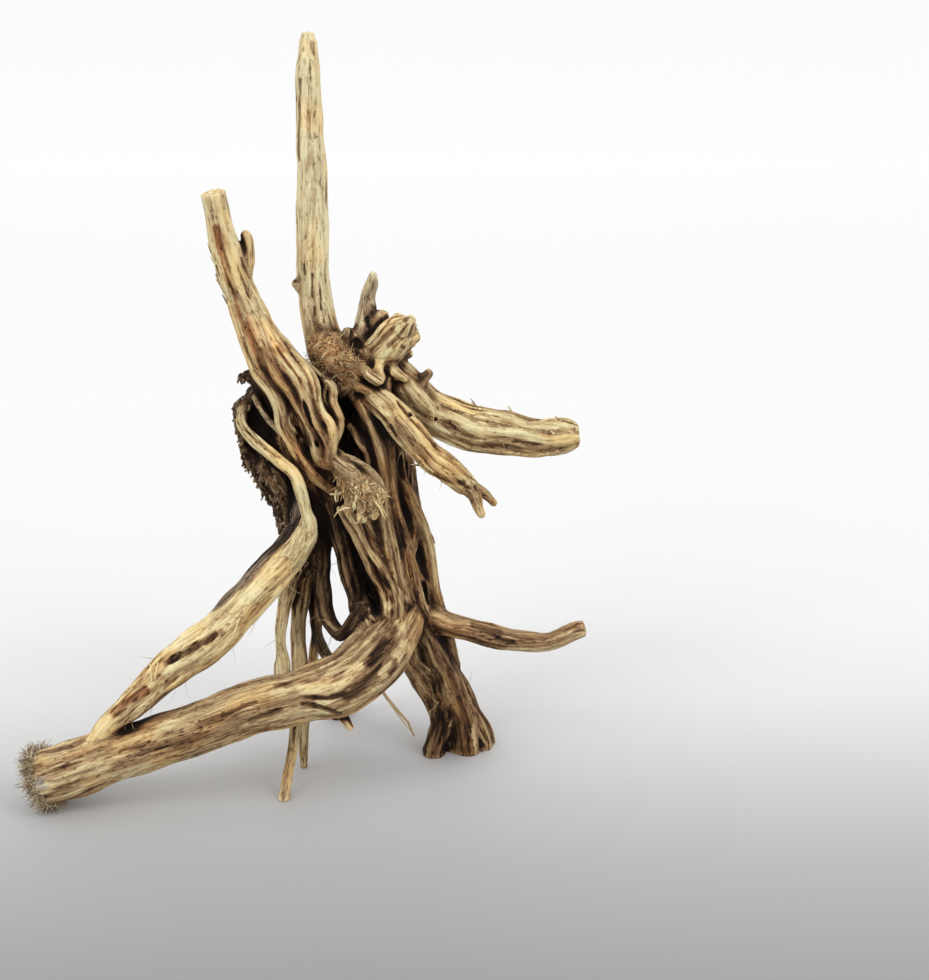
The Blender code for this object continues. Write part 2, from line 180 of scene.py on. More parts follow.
# The solid's runs. Here elbow_strand is thinner, and strand_a and strand_b end otherwise.
RUNS: tuple[Run, ...] = (
    Run("spire", ((29, 24, 201, 8), (24, 26, 224, 10.5), (17, 30, 246, 12), (11, 33, 268, 10.5),
        (7, 36, 291, 9.5), (7, 39, 322, 9), (7, 43, 354, 8.5), (6, 47, 388, 8), (6, 50, 413, 7),
        (6, 52, 428, 5.5), (6, 53, 436, 3.5)), 6, 0.04),
    Run("horn", ((1, 10, 229, 16), (-14, 4, 254, 14), (-26, 1, 279, 10.5), (-34, -2, 304, 9),
        (-40, -5, 328, 8), (-44, -8, 354, 7)), 5, 0.1),
    Run("left_hub", ((-17, 10, 254, 10.5), (-7, 14, 236, 17), (0, 17, 216, 20), (9, 18, 194, 19.5),
        (20, 18, 170, 18), (34, 17, 145, 17)), 9, 0.26),
    Run("right_hub", ((29, 24, 256, 13), (36, 25, 238, 17), (41, 24, 215, 19), (45, 23, 188, 19),
        (49, 22, 161, 20), (53, 20, 136, 21)), 9, 0.24),
    Run("trunk", ((47, 19, 148, 24), (52, 18, 127, 22.5), (58, 18, 101, 21), (65, 18, 77, 17),
        (75, 19, 57, 15.5), (84, 21, 38, 15), (93, 24, 16, 15), (98, 26, 2, 16.5),
        (99, 28, -12, 18.5)), 9, 0.2),
    Run("lower_arm", ((58, 10, 99, 11.5), (54, -10, 93, 15.5), (41, -32, 82, 18.5), (22, -50, 74, 18),
        (-3, -59, 70, 15.5), (-28, -62, 65, 15.5), (-60, -62, 52, 15), (-93, -60, 40, 15),
        (-131, -57, 25, 16.5), (-154, -55, 16, 17)), 8, 0.12),
    Run("elbow_arm", ((4, -12, 162, 4), (1, -19, 152, 7), (-8, -24, 141, 9), (-20, -32, 130, 9.5),
        (-34, -40, 116, 10.5), (-52, -48, 101, 12.5), (-72, -54, 88, 12), (-90, -59, 72, 9),
        (-108, -61, 56, 7), (-118, -60, 41, 7)), 5, 0.16),
    Run("upper_right_arm", ((51, 16, 248, 10.5), (62, 18, 235, 12.5), (74, 21, 221, 13),
        (93, 24, 211, 13.5), (116, 27, 205, 13.5), (138, 30, 201, 12), (155, 32, 201, 11),
        (164, 33, 201, 7)), 6, 0.12),
    Run("second_right_arm", ((36, 6, 238, 5), (43, 1, 235, 7.5), (53, -6, 228, 8.5), (64, -11, 216, 9.5),
        (76, -13, 202, 8.5), (88, -15, 193, 8), (96, -17, 187, 7), (100, -18, 185, 5)), 5, 0.12),
    Run("mid_right_arm", ((58, 16, 107, 10.5), (70, 10, 96, 9.5), (87, 5, 90, 8), (108, 2, 85, 7.5),
        (130, 0, 81, 6.5), (147, 0, 81, 6), (161, 1, 87, 6), (168, 1, 89, 5)), 4, 0.1),
    Run("elbow_strand", ((-34, 6, 224, 3), (-34, 0, 218, 3), (-28, -7, 212, 3.5), (-20, -13, 207, 3.5),
        (-11, -16, 200, 3.5), (-3, -19, 194, 3.5), (1, -21, 184, 3.5), (4, -22, 172, 3.5), (6, -22, 163, 4),
        (1, -23, 153, 7), (-7, -27, 142, 7))),
    Run("elbow_bark", ((0, 4, 172, 3.5), (-2, -2, 164, 5.5), (-3, -8, 155, 7), (-10, -16, 147, 7),
        (-22, -26, 138, 6.5), (-34, -36, 128, 4.5), (-48, -44, 114, 4))),
    Run("crag_top", ((-22, 10, 239, 5.5), (-28, 10, 244, 4.5), (-34, 10, 244, 2.5))),
    Run("crag_side", ((-22, 10, 239, 5.5), (-29, 10, 230, 4.5), (-36, 11, 225, 4), (-37, 10, 215, 3.5),
        (-35, 10, 207, 4))),
    Run("crag_low", ((-34, 12, 199, 4), (-29, 12, 190, 6), (-22, 13, 182, 7), (-17, 13, 171, 7),
        (-11, 12, 158, 7), (-4, 13, 144, 8), (0, 15, 128, 7.5))),
    Run("crag_rib", ((-24, 6, 189, 3.5), (-16, 4, 180, 3.5), (-10, 4, 167, 3.5), (-6, 4, 155, 4))),
    Run("stump_pocket_back", ((-16, 18, 240, 6), (-21, 18, 229, 9), (-18, 18, 210, 10.5),
        (-11, 19, 189, 11), (-3, 19, 167, 10), (5, 20, 149, 8))),
    Run("strand_a", ((-35, -6, 290, 4), (-28, -8, 267, 4.5), (-22, -11, 252, 4.5), (-15, -13, 242, 4),
        (-10, -14, 232, 4), (-9, -14, 221, 4), (-4, -14, 212, 4), (1, -13, 202, 4.5), (8, -11, 191, 4.5),
        (21, 4, 172, 3.5))),
    Run("strand_b", ((-26, -8, 282, 3.5), (-17, -11, 263, 3.5), (-11, -14, 250, 3.5), (-4, -15, 241, 3.5),
        (0, -15, 233, 3), (4, -15, 223, 3), (8, -15, 214, 3.5), (11, -14, 203, 4), (17, -5, 189, 3))),
    Run("strand_c", ((-20, -4, 280, 4.5), (-10, -8, 263, 5), (0, -13, 250, 5), (4, -16, 241, 4),
        (7, -17, 231, 3.5), (12, -17, 220, 3.5), (16, -16, 210, 3.5), (17, -15, 199, 4))),
    Run("strand_d", ((-9, 0, 265, 4.5), (2, -7, 255, 4), (10, -12, 246, 3.5), (11, -14, 237, 3.5),
        (14, -15, 229, 3), (19, -16, 223, 3), (20, -16, 214, 3), (19, -16, 207, 3))),
    Run("strand_e", ((2, 2, 254, 3), (11, -3, 248, 3), (20, -7, 242, 3), (20, -9, 234, 3),
        (24, -10, 224, 3), (23, -12, 217, 3), (19, -15, 209, 3))),
    Run("strand_f", ((-26, 4, 233, 2.5), (-21, 0, 225, 2), (-16, -2, 219, 2), (-9, -6, 214, 2.5))),
    Run("curl_low", ((18, -12, 212, 3), (19, -15, 204, 3), (24, -19, 199, 3), (31, -23, 195, 4),
        (36, -26, 188, 4.5))),
    Run("curl_high", ((18, -10, 207, 2.5), (24, -13, 203, 2.5), (33, -16, 200, 2.5), (40, -18, 196, 2.5),
        (46, -20, 189, 3), (49, -20, 182, 2.5))),
    Run("burl", ((21, -8, 198, 6), (29, -17, 192, 7), (36, -25, 186, 8), (39, -29, 181, 7.5))),
    Run("burl_prong_a", ((30, -20, 190, 4.5), (31, -27, 180, 4), (30, -31, 174, 2.5))),
    Run("burl_prong_b", ((33, -24, 188, 4.5), (37, -32, 178, 4.5), (37, -36, 172, 3))),
    Run("burl_prong_c", ((37, -24, 188, 4.5), (42, -32, 181, 4.5), (44, -35, 174, 3))),
    Run("burl_prong_d", ((37, -20, 190, 4.5), (44, -26, 186, 4), (49, -29, 183, 2.5))),
    Run("strand_g", ((30, 6, 236, 3.5), (38, -2, 225, 3.5), (43, -6, 215, 3.5), (46, -7, 205, 4),
        (48, -6, 194, 4), (49, -4, 181, 4), (48, -5, 167, 4.5), (51, -6, 148, 5), (55, -6, 126, 5.5),
        (60, -2, 106, 6), (63, 8, 85, 6))),
    Run("strand_h", ((32, 4, 213, 2.5), (38, 0, 206, 2.5), (41, -2, 197, 3), (44, -3, 186, 3))),
    Run("strand_i", ((47, 0, 225, 4), (51, -2, 212, 4), (52, -1, 198, 4), (52, 0, 184, 4),
        (54, 0, 168, 4.5), (58, 0, 149, 5), (61, 0, 128, 5.5), (65, 1, 110, 6), (70, 4, 93, 6),
        (75, 12, 72, 6), (80, 20, 52, 6))),
    Run("strand_j", ((56, 8, 197, 4), (58, 8, 182, 4.5), (63, 8, 169, 5), (69, 10, 152, 5.5),
        (73, 11, 136, 5.5), (75, 12, 119, 5), (77, 13, 105, 5), (80, 12, 91, 5), (85, 15, 76, 5),
        (89, 22, 57, 5))),
    Run("strand_k", ((26, -6, 168, 5.5), (33, -8, 157, 6), (40, -8, 141, 6), (46, -8, 128, 6),
        (51, -10, 116, 6.5), (53, -16, 105, 7), (51, -22, 94, 7))),
    Run("strand_m", ((32, -4, 173, 4), (39, -5, 158, 4.5), (46, -5, 143, 4.5), (52, -6, 127, 5),
        (57, -6, 112, 5.5))),
    Run("strand_n", ((59, 4, 142, 5), (63, 4, 126, 5.5), (67, 5, 109, 5.5), (71, 6, 91, 6), (77, 6, 74, 6),
        (85, 8, 55, 6), (91, 10, 35, 5.5), (95, 12, 21, 5.5), (98, 14, 3, 5.5))),
    Run("strand_l", ((18, 6, 166, 7), (23, 4, 148, 7), (27, 4, 129, 6.5), (31, 1, 113, 7),
        (36, -12, 104, 7), (43, -28, 94, 7))),
    Run("lump_a", ((39, 8, 259, 4.5), (41, 3, 248, 4), (41, 2, 237, 3.5))),
    Run("lump_b", ((46, 8, 254, 5), (49, 4, 245, 4.5), (49, 2, 237, 4))),
    Run("lump_c", ((30, 6, 244, 4), (32, 4, 236, 3))),
    Run("root_fibre_mass", ((12, 18, 258, 7.5), (20, 14, 254, 9.5), (26, 12, 250, 9.5), (30, 12, 243, 7))),
    Run("fibre_mass_low", ((15, 18, 248, 7), (22, 13, 243, 7), (29, 12, 239, 5.5))),
    Run("spike", ((37, 24, 255, 9.5), (38, 26, 268, 7.5), (39, 27, 279, 5.5), (39, 28, 288, 4.5),
        (41, 28, 295, 4), (42, 28, 300, 2.5))),
    Run("knob", ((43, 24, 265, 5.5), (48, 22, 277, 4.5))),
    Run("knob_left", ((32, 22, 260, 6), (28, 20, 268, 3.5))),
    Run("broken_stub", ((38, 16, 249, 9.5), (48, 12, 258, 10), (56, 9, 267, 9.5))),
    Run("stub_prong_a", ((47, 14, 261, 6), (53, 14, 272, 5), (57, 15, 278, 3.5))),
    Run("stub_prong_b", ((50, 8, 263, 6), (60, 4, 273, 5), (65, 2, 279, 3.5))),
    Run("stub_prong_c", ((51, 10, 260, 6), (61, 8, 265, 5), (67, 7, 268, 3.5))),
    Run("stub_prong_d", ((51, 16, 256, 6), (59, 20, 256, 4.5), (63, 22, 255, 3))),
    Run("little_stub", ((65, 16, 235, 4.5), (71, 14, 241, 3.5), (75, 13, 245, 3))),
    Run("horn_spur", ((-32, 0, 292, 4), (-31, 2, 300, 4.5), (-28, 2, 313, 4.5), (-27, 1, 325, 3.5),
        (-28, 1, 329, 3))),
    Run("horn_collar", ((-16, 6, 260, 7), (-10, 8, 263, 4))),
    Run("spire_knot", ((1, 35, 292, 4.5), (-3, 34, 294, 3))),
    Run("fork_a", ((95, -17, 187, 5), (102, -20, 181, 4), (104, -23, 175, 3), (106, -25, 171, 2.5))),
    Run("fork_b", ((95, -17, 189, 5), (103, -15, 183, 4), (109, -12, 178, 3), (113, -10, 173, 2.5))),
    Run("loop_root", ((11, 10, 174, 5.5), (8, 10, 155, 8), (9, 10, 136, 6.5), (9, 9, 117, 5.5),
        (11, 4, 103, 5), (16, -4, 93, 4.5), (23, -14, 91, 4.5), (29, -20, 99, 4.5), (35, -16, 107, 5.5))),
    Run("back_root_a", ((2, 22, 161, 5), (-4, 21, 136, 6.5), (-10, 18, 114, 5.5), (-14, 8, 97, 4),
        (-14, -10, 83, 3.5), (-10, -38, 72, 5.5))),
    Run("back_root_b", ((10, 24, 167, 5.5), (1, 26, 136, 8.5), (-4, 24, 105, 6), (-6, 16, 82, 5),
        (-4, 0, 61, 5), (-5, -18, 43, 4), (-7, -30, 26, 3.5), (-10, -42, 9, 3.5), (-11, -48, 1, 3.5),
        (-12, -51, -3, 3.5))),
    Run("back_root_c", ((18, 26, 169, 5.5), (9, 28, 135, 7.5), (4, 29, 103, 5), (4, 26, 78, 3.5),
        (1, 14, 50, 3.5), (-2, 2, 27, 3), (-3, -4, 9, 3), (-3, -6, 1, 2.5))),
    Run("back_stub", ((4, 28, 82, 3), (7, 14, 75, 3.5), (13, -4, 73, 3.5), (21, -26, 75, 4.5),
        (26, -40, 76, 4.5))),
    Run("rear_root", ((56, 26, 150, 7.5), (53, 36, 123, 12.5), (46, 45, 93, 12), (34, 51, 65, 9.5),
        (24, 60, 38, 8), (16, 67, 12, 7), (13, 69, -1, 7.5), (12, 69, -7, 8)), 5, 0.2),
    Run("trunk_toe", ((85, 16, 42, 8.5), (83, 13, 28, 8), (80, 12, 15, 7), (77, 12, 2, 7))),
    Run("arm_peg", ((21, -48, 59, 3.5), (26, -53, 54, 3), (29, -55, 50, 2.5))),
)
# Runs that only dress the wood: they fill what lies between the strands.
DRESSING: tuple[Run, ...] = (
    filler("horn_skirt", (234, 288, -6, 6), (244, 310, -13, 9), (258, 336, -18, 14), (277, 366, -21, 18),
        (291, 388, -20, 17), (303, 412, -17, 15)),
    filler("elbow_crest", (309, 521, -38, 5), (304, 536, -40, 8), (294, 553, -44, 10), (273, 575, -51, 11),
        (250, 598, -59, 10), (226, 620, -66, 7), (205, 640, -72, 3)),
    filler("lump_d", (364, 367, -17, 5), (369, 375, -23, 6), (377, 382, -23, 5)),
    filler("lump_e", (381, 359, -14, 6), (378, 368, -20, 5.5), (381, 377, -21, 4)),
    filler("lump_f", (388, 364, -12, 6), (394, 372, -16, 6), (404, 378, -13, 4)),
    filler("lump_g", (354, 382, -18, 5), (361, 388, -22, 5), (370, 391, -22, 4)),
    filler("stub_body", (370, 359, -3, 15), (384, 348, -8, 18), (396, 336, -9, 20), (404, 330, -9, 15)),
    filler("pocket_side", (254, 392, -3, 8), (250, 410, -3, 9), (254, 432, -2, 9), (264, 452, -2, 9)),
    filler("mass_top", (322, 350, -4, 10), (332, 358, -11, 14), (344, 364, -15, 15), (355, 371, -15, 12)),
    filler("mass_low", (324, 368, -8, 10), (336, 376, -14, 11), (350, 382, -15, 9)),
    filler("mass_spire", (317, 340, 6, 8), (326, 340, 2, 9), (334, 344, 0, 9)),
    filler("stump_fill", (360, 396, -8, 12), (370, 416, -12, 13), (377, 440, -15, 12), (380, 465, -14, 11),
        (382, 492, -12, 12)),
    filler("left_fill", (268, 462, -8, 10), (282, 484, -9, 12), (296, 508, -9, 12), (306, 532, -8, 12)),
    filler("trunk_fill", (372, 520, -13, 16), (384, 548, -14, 17), (395, 576, -14, 17), (407, 604, -12, 16),
        (418, 630, -8, 14)),
)

STEP = 3.0  # distance between the points of a smooth line
RIDGE_TOUCH = 1.05  # how much wider a ridge is than one that would just touch its neighbours
RIDGE_WIDTHS = (0.85, 1.2)  # the thinnest and thickest ridge, as a share of an even one
RIDGE_DEPTHS = (0.93, 1.04)  # the deepest and shallowest, as a share of their place on the limb
RIDGE_SHIFT = 0.2  # how far one stands aside from its even place, as a share of the gap
TURN_PER_SWAY = 0.02  # how far a ridge winds round its limb in a millimetre
SWAY_WAVE = 46.0  # length of a wave in its sway
SWELL = 0.12  # how far it swells and thins, as a share
SWELL_WAVE = 35.0  # length of a wave in its swelling
RIDGE_SEED = 7
CRAG_WAVES = (28, 60)  # shortest and longest wave in a fine ridge's sway
CRAG_SWAY = 0.9  # its sway as a share of its limb's
CRAG_END = 0.35  # its radius at its ends as a share of its middle's
CRAG_ROUND = 0.6  # how late it thins towards them
WEB_WAVES = (18, 30)  # shortest and longest wave of a fine strand between two runs
WEB_WIDTHS = (0.8, 1.2)  # the thinnest and thickest, as a share of their radius
WEB_SWAY = 0.9  # how far one sways
WEB_SWELL = 0.2  # how far it swells and thins, as a share
STRAND_GAP = 71.0  # sets the patterns of neighbouring strands apart


@dataclass(frozen=True)
class Tone:
    """How a run's wood has aged, each from 0 to 1.

    Args:
        shade: How dark it is, from bare pale wood at 0 to black at 1.
        grey: How far the wood has weathered to grey.
        red: How much of it is stained reddish brown.
        cracked: How deep its cracks and flutes are, and how much shade is painted into them.
        fill: How far the grooves between a limb's ridges are filled.
        crumbly: How far it has crumbled to grains, which hides its fibres, lifts the painted shade on pale
            wood and paints shade between the grains.
    """

    shade: float
    grey: float = 0.0
    red: float = 0.0
    cracked: float = 0.6
    fill: float = 0.05
    crumbly: float = 0.0


TONES: dict[str, Tone] = {
    "spire": Tone(0.13, 0.2, 0.0, 0.3, 0.85),
    "spire_knot": Tone(0.4, 0.1, 0.5),
    "horn": Tone(0.11, 0.05, 0.1, 0.5, 0.7),
    "horn_spur": Tone(0.32, 0.2, 0.1),
    "horn_collar": Tone(0.32, 0.1, 0.8),
    "horn_skirt": Tone(0.18, 0.0, 0.25, 0.7),
    "left_hub": Tone(0.54, 0.0, 0.4, 1.0, 0.3),
    "right_hub": Tone(0.5, 0.0, 0.2, 1.0, 0.3),
    "trunk": Tone(0.42, 0.0, 0.15, 0.78, 0.6),
    "lower_arm": Tone(0.34, 0.05, 0.15, 0.28, 0.85),
    "elbow_arm": Tone(0.13, 0.0, 0.1, 0.4, 0.8),
    "elbow_bark": Tone(0.58, 0.7, 0.0, 0.8),
    "elbow_crest": Tone(0.16, 0.0, 0.0, 0.4),
    "elbow_strand": Tone(0.24, 0.0, 0.0, 0.5),
    "upper_right_arm": Tone(0.22, 0.0, 0.1, 0.7, 0.5),
    "second_right_arm": Tone(0.26, 0.0, 0.1, 0.7, 0.7),
    "mid_right_arm": Tone(0.4, 0.1, 0.2, 0.6, 0.7),
    "crag_top": Tone(0.7, 0.3, 0.1, 1.0, crumbly=0.6),
    "crag_side": Tone(0.66, 0.3, 0.1, 1.0, crumbly=0.6),
    "crag_low": Tone(0.66, 0.3, 0.1, 1.0, crumbly=0.4),
    "crag_rib": Tone(0.62, 0.2, 0.1, 1.0, crumbly=0.3),
    "stump_pocket_back": Tone(0.85, 0.1, 0.1, 1.0, crumbly=1.0),
    "pocket_side": Tone(0.85, 0.1, 0.1, 1.0, crumbly=1.0),
    "left_fill": Tone(0.68, 0.2, 0.1, 1.0, crumbly=0.3),
    "stump_fill": Tone(0.58, 0.0, 0.15, 1.0),
    "trunk_fill": Tone(0.42, 0.0, 0.2, 0.9),
    "strand_a": Tone(0.28, 0.0, 0.15),
    "strand_b": Tone(0.42, 0.0, 0.4),
    "strand_c": Tone(0.42, 0.0, 0.5),
    "strand_d": Tone(0.28, 0.0, 0.1),
    "strand_e": Tone(0.28, 0.1, 0.0),
    "strand_f": Tone(0.4, 0.3, 0.0),
    "strand_g": Tone(0.46, 0.0, 0.2),
    "strand_i": Tone(0.46, 0.0, 0.25),
    "strand_j": Tone(0.44, 0.0, 0.2),
    "strand_k": Tone(0.4, 0.0, 0.25, 0.9),
    "strand_l": Tone(0.74, 0.2, 0.0, 0.9),
    "strand_m": Tone(0.4, 0.0, 0.15, 0.9),
    "strand_n": Tone(0.5, 0.0, 0.1, 0.9),
    "curl_low": Tone(0.3, 0.1, 0.1),
    "curl_high": Tone(0.26, 0.1, 0.0),
    "burl": Tone(0.3, 0.0, 0.25, 1.0, crumbly=0.4),
    "root_fibre_mass": Tone(0.27, 0.0, 0.6, 1.0, crumbly=1.0),
    "fibre_mass_low": Tone(0.28, 0.0, 0.6, 1.0, crumbly=1.0),
    "mass_top": Tone(0.26, 0.0, 0.6, 1.0, crumbly=1.0),
    "mass_low": Tone(0.27, 0.0, 0.6, 1.0, crumbly=1.0),
    "mass_spire": Tone(0.3, 0.2, 0.3, 1.0, crumbly=1.0),
    "spike": Tone(0.3, 0.4, 0.0),
    "knob": Tone(0.38, 0.3, 0.1),
    "knob_left": Tone(0.45, 0.3, 0.1),
    "broken_stub": Tone(0.2, 0.0, 0.1, 0.9),
    "stub_body": Tone(0.2, 0.0, 0.1, 0.9),
    "little_stub": Tone(0.48, 0.4, 0.1),
    "fork_a": Tone(0.38, 0.0, 0.1),
    "fork_b": Tone(0.38, 0.0, 0.1),
    "loop_root": Tone(0.68, 0.1, 0.0, 0.8),
    "back_root_a": Tone(0.36, 0.1, 0.0),
    "back_root_b": Tone(0.34, 0.1, 0.1),
    "back_root_c": Tone(0.4, 0.1, 0.1),
    "back_stub": Tone(0.74, 0.1, 0.0),
    "rear_root": Tone(0.55, 0.1, 0.1, 0.9, 0.4),
    "trunk_toe": Tone(0.62, 0.1, 0.1, 0.9),
    "arm_peg": Tone(0.36, 0.0, 0.3),
    "lump_d": Tone(0.3, 0.0, 0.2),
    "lump_e": Tone(0.26, 0.0, 0.1),
    "lump_f": Tone(0.34, 0.0, 0.2),
    "lump_g": Tone(0.36, 0.0, 0.4),
}
PRONG_TONE = Tone(0.24, 0.0, 0.1, 0.8)
STRAND_TONE = Tone(0.46, 0.0, 0.1)


def tone_of(run: str) -> Tone:
    """Finds how a run's wood has aged by its name. Prongs share one tone, and so do strands."""
    shared = PRONG_TONE if "prong" in run else STRAND_TONE
    return TONES.get(run, shared)


@dataclass
class Tube:
    """One tube of wood, with a frame carried along it.

    Args:
        run: The run that it belongs to.
        points: Its axis in millimetres, one row a point.
        radii: Its radius at each point.
        side: A direction square to the axis at each point.
        up: The direction square to both.
        lengths: Distance along the axis to each point.
        ridge: True for a ridge on a limb, False for a strand or a limb's core. Nothing reads it.
        end: Where the limb is sawn off and the way that the sawn face looks, or None.
    """

    run: str
    points: np.ndarray
    radii: np.ndarray
    side: np.ndarray
    up: np.ndarray
    lengths: np.ndarray
    ridge: bool
    end: tuple[np.ndarray, np.ndarray] | None = None

    @classmethod
    def along(cls, run: str, line: list[tuple[Vector, float]], ridge: bool) -> "Tube":
        """Makes a tube from a line.

        Args:
            run: The run's name.
            line: Its points and radii.
            ridge: True for a ridge on a limb.

        Returns:
            The tube, in the finished wood's own place.
        """
        frames = side_frames(line)
        points = np.array([tuple(place) for place, _ in line]) - CENTRE
        gaps = np.linalg.norm(np.diff(points, axis=0), axis=1)
        return cls(
            run,
            points,
            np.array([radius for _, radius in line]),
            np.array([tuple(side) for side, _ in frames]),
            np.array([tuple(up) for _, up in frames]),
            np.concatenate(([0.0], np.cumsum(gaps))),
            ridge,
        )


def smooth_line(line: tuple[Quad, ...]) -> list[tuple[Vector, float]]:
    """Draws a smooth curve through a run's points.

    Args:
        line: The run's own points, each (x, y, z, radius).

    Returns:
        Points about one STEP apart, each with its radius.
    """
    points = [Vector(p[:3]) for p in line]
    radii = [p[3] for p in line]
    points = [points[0] * 2 - points[1]] + points + [points[-1] * 2 - points[-2]]
    radii = [radii[0]] + radii + [radii[-1]]
    found = []
    for i in range(1, len(points) - 2):
        a, b, c, d = points[i - 1 : i + 3]
        count = max(2, round((c - b).length / STEP))
        for k in range(count):
            t = k / count
            square = (2 * a - 5 * b + 4 * c - d) * t**2
            cube = (3 * b - a - 3 * c + d) * t**3
            place = (2 * b + (c - a) * t + square + cube) / 2
            ease = t * t * (3 - 2 * t)
            found.append((place, radii[i] + (radii[i + 1] - radii[i]) * ease))
    found.append((points[-2], radii[-2]))
    return found


def side_frames(smooth: list[tuple[Vector, float]]) -> list[tuple[Vector, Vector]]:
    """Carries two directions square to a line along it without twisting them.

    Args:
        smooth: The line's points and radii.

    Returns:
        The two directions at each point.
    """
    frames = []
    side = None
    for i in range(len(smooth)):
        before = smooth[max(i - 1, 0)][0]
        after = smooth[min(i + 1, len(smooth) - 1)][0]
        along = (after - before).normalized()
        if side is None:
            side = along.cross(Vector((0, 1, 0)) if abs(along.y) < 0.9 else Vector((1, 0, 0)))
        side = (side - along * side.dot(along)).normalized()
        frames.append((side.copy(), along.cross(side)))
    return frames


def ridge_share(ridges: int) -> float:
    """Gives a ridge's radius as a share of its limb's, so that the ridges touch."""
    reach = RIDGE_TOUCH * math.sin(math.pi / ridges)
    return reach / (1 + reach)


def ridge_lines(run: Run, draw: random.Random) -> list[list[tuple[Vector, float]]]:
    """Winds the ridges round a limb.

    Args:
        run: The limb.
        draw: The seeded draws, in the limbs' order.

    Returns:
        One line of points and radii for each ridge.
    """
    smooth = smooth_line(run.line)
    frames = side_frames(smooth)
    lines = []
    for i in range(run.ridges):
        sway_phase = draw.uniform(0, math.tau)
        swell_phase = draw.uniform(0, math.tau)
        share = ridge_share(run.ridges) * draw.uniform(*RIDGE_WIDTHS)
        offset = (1 - share) * draw.uniform(*RIDGE_DEPTHS)
        start = math.tau * (i + draw.uniform(-RIDGE_SHIFT, RIDGE_SHIFT)) / run.ridges
        line = []
        for k, ((place, radius), (u, v)) in enumerate(zip(smooth, frames)):
            length = k * STEP
            angle = start + run.sway * TURN_PER_SWAY * length
            angle += run.sway * math.sin(math.tau * length / SWAY_WAVE + sway_phase)
            out = u * math.cos(angle) + v * math.sin(angle)
            swell = 1 + SWELL * math.sin(math.tau * length / SWELL_WAVE + swell_phase)
            line.append((place + out * radius * offset, share * radius * swell))
        lines.append(line)
    return lines


def tubes_of(runs: tuple[Run, ...], seed: int) -> list[Tube]:
    """Makes every tube of some runs: each core or strand, then the ridges round it.

    Args:
        runs: The runs.
        seed: Seed of the ridges' draws.

    Returns:
        The tubes, in the runs' order.
    """
    draw = random.Random(seed)
    tubes = []
    for run in runs:
        smooth = smooth_line(run.line)
        share = 1 - (1 - tone_of(run.name).fill) * ridge_share(run.ridges) if run.ridges else 1.0
        made = [Tube.along(run.name, [(place, radius * share) for place, radius in smooth], False)]
        made += [Tube.along(run.name, line, True) for line in ridge_lines(run, draw)]
        if run.ridges:
            last = np.array(tuple(smooth[-1][0])) - CENTRE
            before = np.array(tuple(smooth[-2][0])) - CENTRE
            face = (last - before) / np.linalg.norm(last - before)
            for tube in made:
                tube.end = (last, face)
        tubes += made
    return tubes


def run_named(name: str) -> Run:
    """Finds a run by its name."""
    return next(run for run in RUNS if run.name == name)


@dataclass(frozen=True)
class Crags:
    """Fine broken ridges over a limb that is too craggy for its main ridges to show.

    Args:
        run: The limb's name.
        count: How many ridges there are.
        radius: Their smallest and largest radius in millimetres.
        length: Their shortest and longest share of the limb.
        out: Where their axes run, as a share of the limb's radius.
    """

    run: str
    count: int
    radius: Pair
    length: Pair = (0.2, 0.55)
    out: Pair = (0.86, 1.0)

    def tubes(self, draw: random.Random) -> list[Tube]:
        """Draws the ridges.

        Args:
            draw: Seeded draws.

        Returns:
            One tube for each ridge, thin at both ends.
        """
        run = run_named(self.run)
        smooth = smooth_line(run.line)
        frames = side_frames(smooth)
        made = []
        for _ in range(self.count):
            size = max(5, round(len(smooth) * draw.uniform(*self.length)))
            first = draw.randint(0, max(0, len(smooth) - size))
            angle, phase = draw.uniform(0, math.tau), draw.uniform(0, math.tau)
            wave, out = draw.uniform(*CRAG_WAVES), draw.uniform(*self.out)
            thick = draw.uniform(*self.radius)
            line = []
            for k in range(first, min(first + size, len(smooth))):
                place, radius = smooth[k]
                u, v = frames[k]
                turn = angle + run.sway * CRAG_SWAY * math.sin(math.tau * k * STEP / wave + phase)
                way = u * math.cos(turn) + v * math.sin(turn)
                ends = math.sin(math.pi * (k - first + 0.5) / size) ** CRAG_ROUND
                sink = (1 - ends) * thick
                share = CRAG_END + (1 - CRAG_END) * ends
                line.append((place + way * (radius * out - sink), thick * share))
            if len(line) > 3:
                made.append(Tube.along(self.run, line, True))
        return made


@dataclass(frozen=True)
class Web:
    """Fine strands that fill the groove between two runs.

    Args:
        first: The run on one side.
        second: The run on the other.
        shares: Where the fine strands run, from the first at 0 to the second at 1.
        sink: How far behind the two they run, in millimetres.
        radius: Their radius.
    """

    first: str
    second: str
    shares: tuple[float, ...]
    sink: float
    radius: float

    def tubes(self, draw: random.Random) -> list[Tube]:
        """Draws the strands.

        Args:
            draw: Seeded draws.

        Returns:
            One tube for each strand.
        """
        lines = [smooth_line(run_named(name).line) for name in (self.first, self.second)]
        count = max(len(line) for line in lines)
        made = []
        for share in self.shares:
            phase, wave = draw.uniform(0, math.tau), draw.uniform(*WEB_WAVES)
            thick = self.radius * draw.uniform(*WEB_WIDTHS)
            strand = []
            for k in range(count):
                a, b = (line[round(k / (count - 1) * (len(line) - 1))] for line in lines)
                sway = WEB_SWAY * math.sin(math.tau * k * STEP / wave + phase)
                place = a[0].lerp(b[0], share) + Vector((sway, self.sink + 0.5 * sway, 0))
                strand.append((place, thick * (1 + WEB_SWELL * math.sin(k + phase))))
            made.append(Tube.along(self.first, strand, True))
        return made


